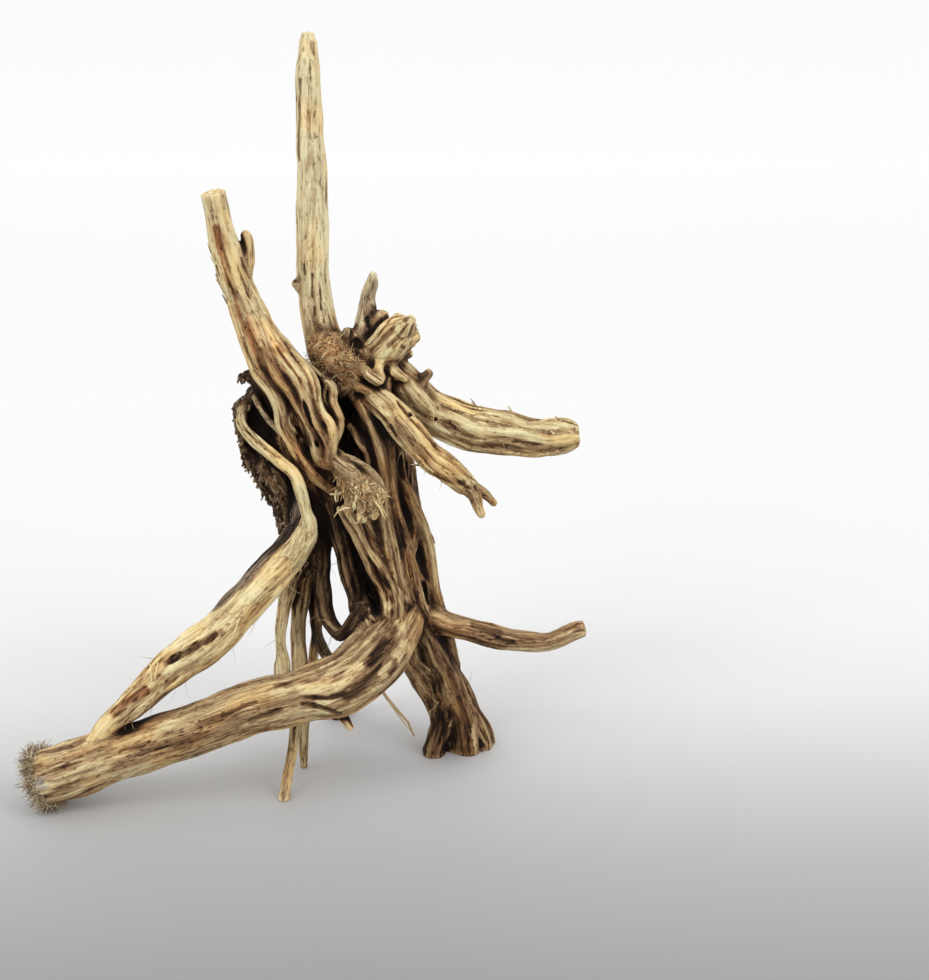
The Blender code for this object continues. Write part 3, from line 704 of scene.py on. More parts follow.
CRAGS = (
    Crags("left_hub", 34, (1.3, 2.6)),
    Crags("right_hub", 40, (1.3, 2.8)),
    Crags("trunk", 34, (1.2, 2.6), (0.25, 0.7), (0.84, 0.96)),
    Crags("upper_right_arm", 12, (1.0, 2.0), (0.3, 0.8), (0.85, 0.98)),
    Crags("second_right_arm", 8, (0.8, 1.5), (0.3, 0.7), (0.8, 0.95)),
    Crags("lower_arm", 14, (1.2, 2.4), (0.15, 0.4), (0.84, 0.92)),
    Crags("horn", 10, (0.8, 1.6), (0.3, 0.7), (0.82, 0.95)),
)
WEBS = (
    Web("strand_a", "strand_b", (0.4, 0.7), 1.8, 1.5),
    Web("strand_b", "strand_c", (0.35, 0.65), 1.8, 1.4),
    Web("strand_c", "strand_d", (0.3, 0.6), 1.6, 1.4),
    Web("strand_d", "strand_e", (0.5,), 2.0, 1.3),
    Web("strand_g", "strand_i", (0.35, 0.65), 1.6, 1.6),
    Web("strand_i", "strand_j", (0.3, 0.5, 0.7), 2.0, 1.7),
    Web("strand_k", "strand_g", (0.4, 0.7), 2.0, 1.8),
    Web("strand_k", "strand_m", (0.5,), 1.5, 1.6),
)


def noise(points: np.ndarray, seed: int) -> np.ndarray:
    """Reads smooth gradient noise.

    Args:
        points: Places in the noise's own units, one row each.
        seed: Seed of its gradients.

    Returns:
        A value from about -0.7 to 0.7 for each place.
    """
    table = np.random.default_rng(seed)
    order = table.permutation(1024)
    slopes = table.normal(size=(1024, 3))
    slopes /= np.linalg.norm(slopes, axis=1)[:, None]
    base = np.floor(points).astype(np.int64)
    inner = points - base
    fade = inner**3 * (inner * (inner * 6 - 15) + 10)
    total = np.zeros(len(points))
    for corner in np.ndindex(2, 2, 2):
        cell = (base + corner) & 1023
        index = order[(order[(order[cell[:, 0]] + cell[:, 1]) & 1023] + cell[:, 2]) & 1023]
        away = inner - corner
        weight = np.prod(np.where(corner, fade, 1 - fade), axis=1)
        total += weight * (slopes[index] * away).sum(axis=1)
    return total


def ease(values: np.ndarray, low: float, high: float) -> np.ndarray:
    """Eases values from 0 at low to 1 at high."""
    t = np.clip((values - low) / (high - low), 0, 1)
    return t * t * (3 - 2 * t)


def read_grid(values: np.ndarray, spots: np.ndarray) -> np.ndarray:
    """Reads a grid of values between its cells.

    Args:
        values: The grid.
        spots: Where to read it, counted in cells.

    Returns:
        One value for each spot.
    """
    spots = np.clip(spots, 0, np.array(values.shape) - 1.001)
    base = spots.astype(int)
    inner = (spots - base).astype(np.float32)
    total = np.zeros(len(spots), np.float32)
    for corner in np.ndindex(2, 2, 2):
        cell = base + corner
        weight = np.prod(np.where(corner, inner, 1 - inner), axis=1)
        total += weight * values[cell[:, 0], cell[:, 1], cell[:, 2]]
    return total


@dataclass(frozen=True)
class Pattern:
    """A noise pattern in the wood's relief.

    Args:
        size: Its size on each axis in millimetres. Where it follows the grain, the last is along it.
        seed: Seed of its gradients.
    """

    size: Triple
    seed: int

    def read(self, places: np.ndarray) -> np.ndarray:
        """Reads it at each place, from about -0.7 to 0.7."""
        return noise(places / self.size, self.seed)


FOLD = Pattern((9.0, 9.0, 55.0), 10)
FLUTE = Pattern((5.2, 5.2, 80.0), 11)
FIBRE = Pattern((2.3, 2.3, 40.0), 12)
CRACK = Pattern((3.8, 3.8, 30.0), 13)
LUMP = Pattern((14.0, 14.0, 14.0), 14)
CRUMB = Pattern((2.8, 2.8, 2.8), 15)
FINE_CRUMB = Pattern((1.6, 1.6, 1.6), 16)
MARK_EDGE = Pattern((2.2, 2.2, 9.0), 21)

# These three go along a tube, on the first axis, and the second sets one tube apart from the next.
SWELLING = Pattern((11.0, 1.0, 1.0), 31)
BEND_ASIDE = Pattern((17.0, 1.0, 1.0), 32)
BEND_OVER = Pattern((17.0, 1.0, 1.0), 33)
TUBE_GAP = 3.7
ROUGH_BEND = 1.3  # how far a cracked strand wanders off its line, in millimetres
ROUGH_SWELL = 0.3  # how far it swells and thins, as a share
ROUGH_RADIUS = 3.0  # the radius from which it wanders the whole way

LOOKS = 300  # how many steps a line of sight takes to the wood at most
LEAST_LOOK = 0.2  # its shortest step, in millimetres
HOLLOW_POINTS = 9  # how many points a hollow's axis has
HOLLOW_END = 0.35  # its radius at its ends as a share of its middle's


def roughened(tube: Tube, number: int) -> Tube:
    """Bends and swells a tube a little, more where its wood is cracked, so that it isn't even.

    Args:
        tube: The tube.
        number: Its number, which sets the draws apart.

    Returns:
        The uneven tube.
    """
    amount = min(1.0, tone_of(tube.run).cracked)
    rows = tube.lengths[:, None] * (1, 0, 0) + (0.5, TUBE_GAP * number, 0.5)
    reach = ROUGH_BEND * amount * np.minimum(tube.radii / ROUGH_RADIUS, 1)
    shift = tube.side * (BEND_ASIDE.read(rows) * reach)[:, None]
    shift = shift + tube.up * (BEND_OVER.read(rows) * reach)[:, None]
    radii = tube.radii * (1 + ROUGH_SWELL * amount * SWELLING.read(rows))
    return replace(tube, points=tube.points + shift, radii=radii)


@dataclass(frozen=True)
class Hollow:
    """A hole or a crack that is carved into the wood.

    Args:
        name: What it is. Nothing reads it.
        pixels: Its line in the photograph.
        radius: Its radius in millimetres.
        rise: How far its axis lies out of the skin, or below 0 how far in it.
    """

    name: str
    pixels: tuple[Pair, ...]
    radius: float
    rise: float

    def path(self, wood: "WoodField") -> tuple[np.ndarray, np.ndarray]:
        """Finds its axis and radii.

        Args:
            wood: The wood that it is carved into.

        Returns:
            Its axis in millimetres, and its radii, narrow at both ends.
        """
        points = wood.seen(self.pixels)
        points += self.rise * wood.outward(points)
        share = np.linspace(0, 1, HOLLOW_POINTS)
        knots = np.linspace(0, 1, len(points))
        places = np.stack([np.interp(share, knots, points[:, axis]) for axis in range(3)], axis=1)
        width = HOLLOW_END + (1 - HOLLOW_END) * np.sin(np.pi * share) ** 0.5
        return places, self.radius * width


@dataclass
class WoodField:
    """Distance to the wood's skin on a grid of cells, negative inside, all in millimetres.

    Args:
        low: The grid's lowest corner.
        high: Its highest corner.
        cell: Size of a cell.
        reach: How far from the skin the distance is kept.
    """

    low: np.ndarray
    high: np.ndarray
    cell: float
    reach: float = 4.5
    distance: np.ndarray = field(init=False)
    owner: np.ndarray = field(init=False)

    def __post_init__(self) -> None:
        """Fills the grid with empty space."""
        shape = tuple(np.ceil((self.high - self.low) / self.cell).astype(int) + 1)
        self.distance = np.full(shape, self.reach, np.float32)
        self.owner = np.full(shape, -1, np.int16)

    def window(self, low: np.ndarray, high: np.ndarray) -> tuple[np.ndarray, np.ndarray]:
        """Finds the cells between two corners.

        Args:
            low: The lowest corner.
            high: The highest corner.

        Returns:
            The first cell, and the one after the last, on each axis.
        """
        first = np.floor((low - self.low) / self.cell).astype(int)
        after = np.ceil((high - self.low) / self.cell).astype(int) + 1
        shape = np.array(self.distance.shape)
        return np.clip(first, 0, shape), np.clip(after, 0, shape)

    def axes(self, first: np.ndarray, after: np.ndarray) -> list[np.ndarray]:
        """Gives the cells' places along each axis, ready to be combined."""
        places = [self.low[i] + self.cell * np.arange(first[i], after[i]) for i in range(3)]
        return [places[0][:, None, None], places[1][None, :, None], places[2][None, None, :]]

    def tube_distance(
        self, points: np.ndarray, radii: np.ndarray, first: np.ndarray, after: np.ndarray
    ) -> np.ndarray:
        """Measures a tube in a window of the grid.

        Args:
            points: The tube's axis.
            radii: Its radii.
            first: The window's first cell.
            after: The cell after its last.

        Returns:
            The distance to the tube in each cell of the window.
        """
        found = np.full(tuple(after - first), self.reach, np.float32)
        for a, b, ra, rb in zip(points[:-1], points[1:], radii[:-1], radii[1:]):
            margin = max(ra, rb) + self.reach
            lo, hi = self.window(np.minimum(a, b) - margin, np.maximum(a, b) + margin)
            lo, hi = np.maximum(lo, first), np.minimum(hi, after)
            if (hi <= lo).any():
                continue
            way = b - a
            square = max(float(way @ way), 1e-6)
            x, y, z = self.axes(lo, hi)
            x, y, z = x - a[0], y - a[1], z - a[2]
            along = (x * way[0] + y * way[1] + z * way[2]).astype(np.float32)
            t = np.clip(along / square, 0, 1)
            gap = (x * x + y * y + z * z).astype(np.float32) - t * (2 * along - t * square)
            gap = np.sqrt(np.maximum(gap, 0)) - (ra + (rb - ra) * t)
            part = tuple(slice(p, q) for p, q in zip(lo - first, hi - first))
            np.minimum(found[part], gap, out=found[part])
        return found

    def add(self, tube: Tube, index: int, blend: float) -> None:
        """Joins a tube to the wood.

        Args:
            tube: The tube.
            index: Its number, which the cells that it owns keep.
            blend: Size of the fillet where it meets the rest.
        """
        margin = tube.radii.max() + self.reach
        first, after = self.window(tube.points.min(0) - margin, tube.points.max(0) + margin)
        found = self.tube_distance(tube.points, tube.radii, first, after)
        if tube.end is not None:
            place, face = tube.end
            x, y, z = self.axes(first, after)
            beyond = (x - place[0]) * face[0] + (y - place[1]) * face[1] + (z - place[2]) * face[2]
            found = np.maximum(found, beyond.astype(np.float32))
        part = tuple(slice(p, q) for p, q in zip(first, after))
        here = self.distance[part]
        self.owner[part] = np.where(found < here, np.int16(index), self.owner[part])
        nearest = np.minimum(here, found)
        near = np.maximum(blend - np.abs(here - found), 0) / blend
        fade = np.clip(1 - nearest / self.reach, 0, 1)
        self.distance[part] = nearest - near * near * fade * (blend / 4)

    def carve(self, points: np.ndarray, radii: np.ndarray, blend: float) -> None:
        """Cuts a tube out of the wood.

        Args:
            points: The tube's axis.
            radii: Its radii.
            blend: Rounding of the cut's rim.
        """
        margin = radii.max() + self.reach
        first, after = self.window(points.min(0) - margin, points.max(0) + margin)
        found = -self.tube_distance(points, radii, first, after)
        part = tuple(slice(p, q) for p, q in zip(first, after))
        here = self.distance[part]
        near = np.maximum(blend - np.abs(here - found), 0) / blend
        self.distance[part] = np.maximum(here, found) + near * near * (blend / 4)

    def cut_level(self) -> None:
        """Cuts the wood flat where it stands."""
        height = self.low[2] + self.cell * np.arange(self.distance.shape[2])
        self.distance = np.maximum(self.distance, -height.astype(np.float32)[None, None, :])

    def at(self, places: np.ndarray) -> np.ndarray:
        """Reads the distance at each place."""
        return read_grid(self.distance, (places - self.low) / self.cell)

    def outward(self, places: np.ndarray) -> np.ndarray:
        """Finds the way out of the wood.

        Args:
            places: Where to find it.

        Returns:
            A direction of length one for each place.
        """
        slopes = []
        for axis in range(3):
            shift = np.zeros(3)
            shift[axis] = self.cell
            slopes.append(self.at(places + shift) - self.at(places - shift))
        normals = np.stack(slopes, axis=1)
        return normals / np.maximum(np.linalg.norm(normals, axis=1), 1e-6)[:, None]

    def seen(self, pixels: tuple[Pair, ...]) -> np.ndarray:
        """Finds the skin's place under pixels of the photograph.

        Args:
            pixels: The pixels.

        Returns:
            Their places. Where a pixel just misses the wood, it is the nearest that its line comes.
        """
        ways = SIGHT.ways(np.array(pixels, dtype=float))
        far = (self.low[1] - SIGHT.place[1]) / ways[:, 1]
        least, found = np.full(len(far), np.inf), far.copy()
        for _ in range(LOOKS):
            gap = self.at(SIGHT.place + ways * far[:, None])
            nearer = (gap < least) & (least > 0)
            least, found = np.where(nearer, gap, least), np.where(nearer, far, found)
            far = np.where(least > 0, far + np.maximum(gap, LEAST_LOOK), far)
        return SIGHT.place + ways * found[:, None]

    def skin(self) -> tuple[np.ndarray, np.ndarray]:
        """Finds the wood's skin.

        Returns:
            Its points, and its faces of four corners each.
        """
        grid = openvdb.FloatGrid(self.reach)
        grid.copyFromArray(self.distance, tolerance=0.0)
        points, _, faces = grid.convertToPolygons(isovalue=0.0, adaptivity=0.0)
        places = points.astype(np.float64) * self.cell + self.low
        return keep_largest(places, faces.astype(np.int64))

    def fullness(self, radius: float, places: np.ndarray) -> np.ndarray:
        """Measures how much wood lies round each place.

        Args:
            radius: Half the width of the box that it is measured in.
            places: Where to measure it.

        Returns:
            A share for each place, from 0, empty, to 1, all wood.
        """
        full = (self.distance[::2, ::2, ::2] < 0).astype(np.float32)
        cell = 2 * self.cell
        half = max(1, round(radius / cell))
        for axis in range(3):
            run = np.cumsum(full, axis=axis, dtype=np.float32)
            count = full.shape[axis]
            upper = np.take(run, np.minimum(np.arange(count) + half, count - 1), axis=axis)
            below = np.arange(count) - half - 1
            lower = np.take(run, np.maximum(below, 0), axis=axis)
            lower *= np.expand_dims(below >= 0, [i for i in range(3) if i != axis])
            full = (upper - lower) / (2 * half + 1)
        return read_grid(full, (places - self.low) / cell)


def keep_largest(points: np.ndarray, faces: np.ndarray) -> tuple[np.ndarray, np.ndarray]:
    """Drops every loose part of a mesh but the largest.

    Args:
        points: The mesh's points.
        faces: Its faces.

    Returns:
        The points and faces that are left.
    """
    label = np.arange(len(points))
    while True:
        lowest = label[faces].min(axis=1)
        fresh = label.copy()
        for corner in range(faces.shape[1]):
            np.minimum.at(fresh, faces[:, corner], lowest)
        fresh = fresh[fresh]
        fresh = fresh[fresh]
        if (fresh == label).all():
            break
        label = fresh
    kept = label == np.bincount(label).argmax()
    number = np.cumsum(kept) - 1
    return points[kept], number[faces[kept[faces[:, 0]]]]


TONE_ROUNDS = 10  # how far one run's colour runs into the next
SEAM_ROUNDS = 4  # how wide the seam between two strands is
BLEND_ROUNDS = 8  # how far the relief is evened out on it
POINTS_AT_ONCE = 20000  # keeps the work on one strand within the memory
FLOOR_GAP = 0.6  # how far threads stay above the floor, in millimetres
SMOOTH_FILL = 0.65  # how full a limb's grooves are before its ridges share one grain
CRUMB_GRAIN = (1.6, 1.6, 24.0)  # evens out the grain's pattern where the wood has crumbled
CLOSE, MIDDLE, FAR = (3.0, 1.5), (7.0, 5.0), (15.0, 13.0)  # where hollows are looked for, to paint shade into them and ease the relief in creases: reach, way out
FULL_RELIEF = 6.0  # radius of a strand that is thick enough for the whole relief, in millimetres
LEAST_RELIEF = 0.4  # share of the relief on the thinnest
STANDING = 2.0  # height that the relief needs to grow in, so that the wood stands flat
FLUTE_DEPTH, FIBRE_DEPTH, CRACK_DEPTH = 1.2, 0.7, 1.5  # in millimetres, on thick cracked wood
FOLD_DEPTH, LUMP_DEPTH, CRUMB_DEPTH = 1.6, 1.1, 2.2
MARK_DEPTH = 5.0  # how far a mark reaches in the direction that it is seen from, in millimetres
MARK_ROOM = 1.5  # how far its uneven edge can go, as a share of its reach
MARK_RAGGED = 0.9  # how uneven that edge is
MARK_FADE = (0.4, 1.25)  # where it starts and ends to fade, as a share of its reach
MARK_CAP = 9.0  # the farthest that a place counts as being from a mark's line


@dataclass
class Skin:
    """The wood's skin, and what each of its points knows about the strand that it is on.

    Args:
        field: The field that it is the skin of.
        tubes: The tubes that the field is made of.
        marks: The marks on it, each with its line on the skin in millimetres.
    """

    field: WoodField
    tubes: list[Tube]
    marks: list[tuple["Mark", np.ndarray]]
    points: np.ndarray = field(init=False)
    faces: np.ndarray = field(init=False)
    normals: np.ndarray = field(init=False)
    owner: np.ndarray = field(init=False)
    guide: np.ndarray = field(init=False)
    grain: np.ndarray = field(init=False)
    radius: np.ndarray = field(init=False)
    wear_and_painted_shade: np.ndarray = field(init=False)

    def __post_init__(self) -> None:
        """Finds the skin, its normals and each point's place along its strand."""
        self.points, self.faces = self.field.skin()
        self.normals = self.field.outward(self.points)
        spot = np.rint((self.points - self.field.low) / self.field.cell).astype(int)
        spot = np.clip(spot, 0, np.array(self.field.owner.shape) - 1)
        self.owner = self.field.owner[spot[:, 0], spot[:, 1], spot[:, 2]].astype(int)
        self.guide = self.guides()[self.owner]
        self.grain, self.radius = self.straightened()

    def guides(self) -> np.ndarray:
        """Finds the tube whose grain each tube's skin follows.

        Returns:
            The number of that tube: its own, or its core's on a smooth limb.
        """
        first: dict[str, int] = {}
        found = np.arange(len(self.tubes))
        for number, tube in enumerate(self.tubes):
            core = first.setdefault(tube.run, number)
            if tone_of(tube.run).fill >= SMOOTH_FILL:
                found[number] = core
        return found

    def straightened(self) -> tuple[np.ndarray, np.ndarray]:
        """Works out where each point is in its own strand, as if the strand were straight.

        Returns:
            Two places across the strand and one along it for each point, and the strand's radius.
        """
        grain = np.zeros((len(self.points), 3))
        radius = np.ones(len(self.points))
        for index in np.unique(self.guide):
            own = np.flatnonzero(self.guide == index)
            tube = self.tubes[index]
            start, way = tube.points[:-1], np.diff(tube.points, axis=0)
            square = (way * way).sum(axis=1)
            for part in np.array_split(own, len(own) // POINTS_AT_ONCE + 1):
                to = self.points[part][:, None, :] - start[None, :, :]
                t = np.clip((to * way).sum(axis=2) / square, 0, 1)
                off = to - t[:, :, None] * way
                best = (off * off).sum(axis=2).argmin(axis=1)
                row = np.arange(len(part))
                t, off = t[row, best], off[row, best]
                side = tube.side[best] * (1 - t)[:, None] + tube.side[best + 1] * t[:, None]
                up = tube.up[best] * (1 - t)[:, None] + tube.up[best + 1] * t[:, None]
                gap = tube.lengths[best + 1] - tube.lengths[best]
                grain[part, 0] = (off * side).sum(axis=1) + STRAND_GAP * index
                grain[part, 1] = (off * up).sum(axis=1)
                grain[part, 2] = tube.lengths[best] + t * gap
                radius[part] = tube.radii[best] * (1 - t) + tube.radii[best + 1] * t
        crumbly = self.tone("crumbly")[:, None]
        grains = self.points * CRUMB_GRAIN
        return grain * (1 - crumbly) + grains * crumbly, radius

    def tone(self, name: str) -> np.ndarray:
        """Reads one of the tones' values at every point."""
        values = np.array([getattr(tone_of(tube.run), name) for tube in self.tubes])
        return self.spread(values[self.owner], TONE_ROUNDS)

    def spread(self, values: np.ndarray, rounds: int) -> np.ndarray:
        """Evens values out with their neighbours' on the skin.

        Args:
            values: One value for each point.
            rounds: How many times it is done.

        Returns:
            The evened values.
        """
        corners = self.faces.ravel()
        count = np.maximum(np.bincount(corners, minlength=len(values)), 1)
        for _ in range(rounds):
            means = np.repeat(values[self.faces].mean(axis=1), 4)
            values = np.bincount(corners, weights=means, minlength=len(values)) / count
        return values

    def joined(self, values: np.ndarray) -> np.ndarray:
        """Evens values out only where one strand's skin meets the next.

        Args:
            values: One value for each point.

        Returns:
            The evened values.
        """
        sides = self.guide[self.faces]
        seam = np.zeros(len(values))
        seam[self.faces[sides.min(axis=1) != sides.max(axis=1)]] = 1.0
        share = np.clip(2 * self.spread(seam, SEAM_ROUNDS), 0, 1)
        return values * (1 - share) + self.spread(values, BLEND_ROUNDS) * share

    def pick(
        self,
        runs: tuple[str, ...],
        count: int,
        draw: np.random.Generator,
        wanted: np.ndarray | None = None,
    ) -> np.ndarray:
        """Chooses points of some runs.

        Args:
            runs: The runs' names.
            count: How many points.
            draw: Seeded draws.
            wanted: Which points may be chosen, or None for all.

        Returns:
            The points' numbers.
        """
        names = np.array([tube.run in runs for tube in self.tubes])
        allowed = names[self.owner] if wanted is None else names[self.owner] & wanted
        return draw.choice(np.flatnonzero(allowed), count)

    def enclosed(self, radius: float, out: float) -> np.ndarray:
        """Measures how much wood lies round a place that is straight out from each point."""
        return self.field.fullness(radius, self.points + self.normals * out)

    def weather(self) -> None:
        """Cuts folds, flutes and cracks along the grain, and works out each point's colour, with shade
        painted into its creases, hollows, flutes, cracks and the gaps between its crumbs.
        """
        grain = self.grain
        cracked = self.tone("cracked")
        size = np.clip(self.radius / FULL_RELIEF, LEAST_RELIEF, 1.0)
        fold, fibre, lump = FOLD.read(grain), FIBRE.read(grain), LUMP.read(self.points)
        flute = 1 - ease(np.abs(FLUTE.read(grain)), 0.0, 0.22)
        crack = ease(CRACK.read(grain), 0.24, 0.36)
        close, middle, far = self.enclosed(*CLOSE), self.enclosed(*MIDDLE), self.enclosed(*FAR)
        crease = ease(close, 0.26, 0.46)
        cuts = FLUTE_DEPTH * flute + FIBRE_DEPTH * fibre + CRACK_DEPTH * crack
        depth = cracked * cuts * (1 - 0.6 * crease)
        waves = FOLD_DEPTH * fold + LUMP_DEPTH * lump
        depth += (0.35 + 0.65 * cracked) * waves * (1 - 0.8 * crease)
        crumbly = self.tone("crumbly")
        crumb = CRUMB.read(self.points) + 0.5 * FINE_CRUMB.read(self.points)
        depth = depth * (1 - 0.6 * crumbly) + CRUMB_DEPTH * crumb * crumbly
        standing = np.clip(self.points[:, 2] / STANDING, 0, 1)
        depth = self.joined(depth * size) * standing
        self.points = self.points - self.normals * depth[:, None]
        # Painted shade, kept as the first column of the wear: darker in creases and hollows where wood
        # closes round a point, in flutes and cracks, and between crumbs; less of it on pale crumbled wood.
        light = (1 - 0.7 * crease) * (1 - 0.65 * ease(middle, 0.22, 0.5))
        light *= 1 - 0.5 * ease(far, 0.14, 0.42)
        light *= 1 - cracked * 0.5 * flute * size
        light *= 1 - 0.8 * crack * np.minimum(cracked * 1.3, 1) * (1 - crumbly)
        light = light + (1 - light) * 0.5 * crumbly * (1 - ease(self.tone("shade"), 0.5, 0.7))
        light *= 1 - 0.5 * crumbly * ease(crumb, 0.0, 0.4)
        shade = self.tone("shade") + 0.14 * np.minimum(cracked, 1) * fibre
        # Painted light and shade: the shade is darkened where wood closes round a point and lightened where
        # the point stands open.
        shade += close - 0.24
        self.wear_and_painted_shade = np.stack((1 - light, shade, self.tone("red"), self.tone("grey")), axis=1)
        for mark, line in self.marks:
            mark.put(self, line)
        self.wear_and_painted_shade = np.clip(self.wear_and_painted_shade, 0, 1)


class MarkColumn(Enum):
    """What a mark changes, as the column of the wear: the painted shade with a few dark spots, the wood's
    shade, its red and its grey.
    """

    DARK = 0
    SHADE = 1
    RED = 2
    GREY = 3


@dataclass(frozen=True)
class Mark:
    """A place on the wood whose colour differs from its run's: stains and patches of its own, shade painted
    into holes, slits, cracks and grooves, and a painted highlight on some crests.

    Args:
        stain: What it changes.
        pixels: The line that it follows in the photograph.
        reach: How far it spreads from the line in millimetres, across the way that it is seen.
        value: What the wear becomes there.
    """

    stain: MarkColumn
    pixels: tuple[Pair, ...]
    reach: float
    value: float

    def put(self, skin: Skin, line: np.ndarray) -> None:
        """Changes the skin's wear round the mark, with an uneven edge along the grain.

        Args:
            skin: The skin.
            line: The mark's line on it.
        """
        room = self.reach * MARK_ROOM + MARK_DEPTH
        close = ((skin.points > line.min(0) - room) & (skin.points < line.max(0) + room)).all(axis=1)
        near = np.flatnonzero(close)
        ways = np.zeros_like(line) if len(line) == 1 else np.diff(line, axis=0)
        away = np.full(len(near), MARK_CAP)
        for start, way in zip(line, ways):
            to = skin.points[near] - start
            share = np.clip((to @ way) / max(float(way @ way), 1e-9), 0, 1)
            off = to - share[:, None] * way
            depth = off @ SIGHT.forward
            aside = np.linalg.norm(off - depth[:, None] * SIGHT.forward, axis=1)
            away = np.minimum(away, np.hypot(aside, depth * self.reach / MARK_DEPTH))
        uneven = MARK_RAGGED * MARK_EDGE.read(skin.grain[near])
        share = 1 - ease(away / self.reach + uneven, *MARK_FADE)
        column = skin.wear_and_painted_shade[:, self.stain.value]
        column[near] += share * (self.value - column[near])


# The marks by what they change: each one's pixels, reach and value
MARKED: dict[MarkColumn, tuple[tuple[tuple[Pair, ...], float, float], ...]] = {
    # Painted shade in holes, slits, cracks and grooves, with a few dark spots; the first takes painted
    # shade out of a crease.
    MarkColumn.DARK: (
        (((243, 312), (252, 338), (262, 358)), 5.5, 0.12),
        (((304, 264), (305, 274)), 0.7, 0.8),
        (((312, 274), (312, 297)), 0.7, 0.8),
        (((320, 288), (321, 309)), 0.7, 0.8),
        (((314.5, 307), (315, 315)), 0.7, 0.8),
        (((323, 320), (328, 333)), 0.7, 0.8),
        (((241, 258), (249, 278)), 0.8, 0.9),
        (((217, 266), (220, 275)), 1, 0.9),
        (((357, 341), (361, 346)), 2.4, 0.9),
        (((367, 318), (368, 326)), 1.3, 1),
        (((403, 347),), 1.4, 0.8),
        (((378, 336), (392, 318)), 0.8, 0.9),
        (((401, 331), (408, 324)), 0.8, 0.9),
        (((388, 346), (398, 336)), 0.7, 0.8),
        (((312, 43), (314, 52)), 1.8, 0.55),
        (((370, 662), (380, 648), (386, 640)), 2.6, 0.65),
        (((348, 698), (360, 690), (376, 676)), 2.8, 0.65),
        (((390, 672), (396, 660)), 1.8, 0.6),
        (((302, 704), (314, 705), (326, 709), (340, 713)), 1.6, 0.6),
        (((250, 721), (265, 715), (280, 709)), 1.8, 0.6),
        (((222, 716), (240, 708), (256, 702)), 1.2, 0.5),
        (((190, 741), (214, 735)), 1.2, 0.5),
        (((120, 752), (150, 742)), 1.2, 0.6),
        (((168, 662), (178, 655)), 1.6, 0.5),
        (((184, 652), (194, 644)), 1.2, 0.45),
        (((206, 644), (216, 634)), 1.3, 0.45),
        (((459, 482), (465, 484)), 1.2, 0.6),
        (((474, 625), (498, 634)), 3, 0.6),
        (((424, 583), (428, 603)), 1.6, 0.9),
        (((322, 366), (328, 376)), 3, 0.7),
        (((390, 425), (396, 435)), 1, 0.9),
    ),
    MarkColumn.SHADE: (
        (((244, 314), (256, 345)), 6, 0.2),
        (((300.5, 80), (299.5, 110), (299, 160)), 1.2, 0.5),
        # Brown in the trough between the elbow arm's holes, partly its painted shade.
        (((166, 662), (184, 654), (204, 642), (220, 631)), 2.8, 0.42),
        (((163, 652), (172, 648), (184, 645)), 2, 0.02),
        (((394, 612), (386, 640), (366, 668)), 9, 0.5),
        # Pale wood on the crests and knuckle at the lower arm's bend, partly a painted highlight.
        (((338, 686), (352, 674), (360, 666)), 3.6, 0.08),
        (((300, 690), (328, 690)), 3.4, 0.18),
        (((385, 612), (372, 618), (358, 630)), 3, 0.3),
        (((400, 622), (406, 640), (396, 655)), 2.8, 0.2),
        (((388, 606),), 3.2, 0.06),
        (((384, 350), (398, 332)), 9, 0.16),
        (((228, 215), (245, 270), (262, 325), (283, 358), (300, 372), (316, 386)), 5, 0.12),
        (((216, 228), (228, 272), (240, 310), (256, 350)), 2.6, 0.4),
        (((274, 350), (284, 347)), 3.2, 0.36),
        (((302, 382),), 3.4, 0.38),
        (((114, 712), (130, 700), (146, 690)), 3, 0.56),
        (((424, 655), (436, 690), (450, 725)), 1.8, 0.4),
        (((436, 612), (480, 626)), 2.2, 0.36),
        (((262, 350), (276, 376), (288, 396)), 2.6, 0.5),
        (((40, 782),), 5, 0.42),
        (((60, 770), (110, 755), (170, 740), (230, 722)), 7, 0.36),
        (((344, 366),), 8, 0.46),
        (((350, 430),), 1.8, 0.35),
        (((310, 385), (322, 405), (332, 430)), 2.2, 0.14),
        (((262, 385), (283, 402), (286, 424), (296, 444)), 2.2, 0.26),
    ),
    MarkColumn.RED: (
        (((216, 228), (228, 272), (240, 310), (256, 350)), 3, 0.9),
        (((274, 350), (284, 347)), 3.4, 1),
        (((302, 382),), 3.6, 0.9),
        (((300, 452),), 3, 0.8),
        (((114, 712), (130, 700), (146, 690)), 3.4, 0.8),
    ),
    MarkColumn.GREY: (
        (((40, 782),), 6, 1),
    ),
}
MARKS = tuple(Mark(stain, *values) for stain, group in MARKED.items() for values in group)
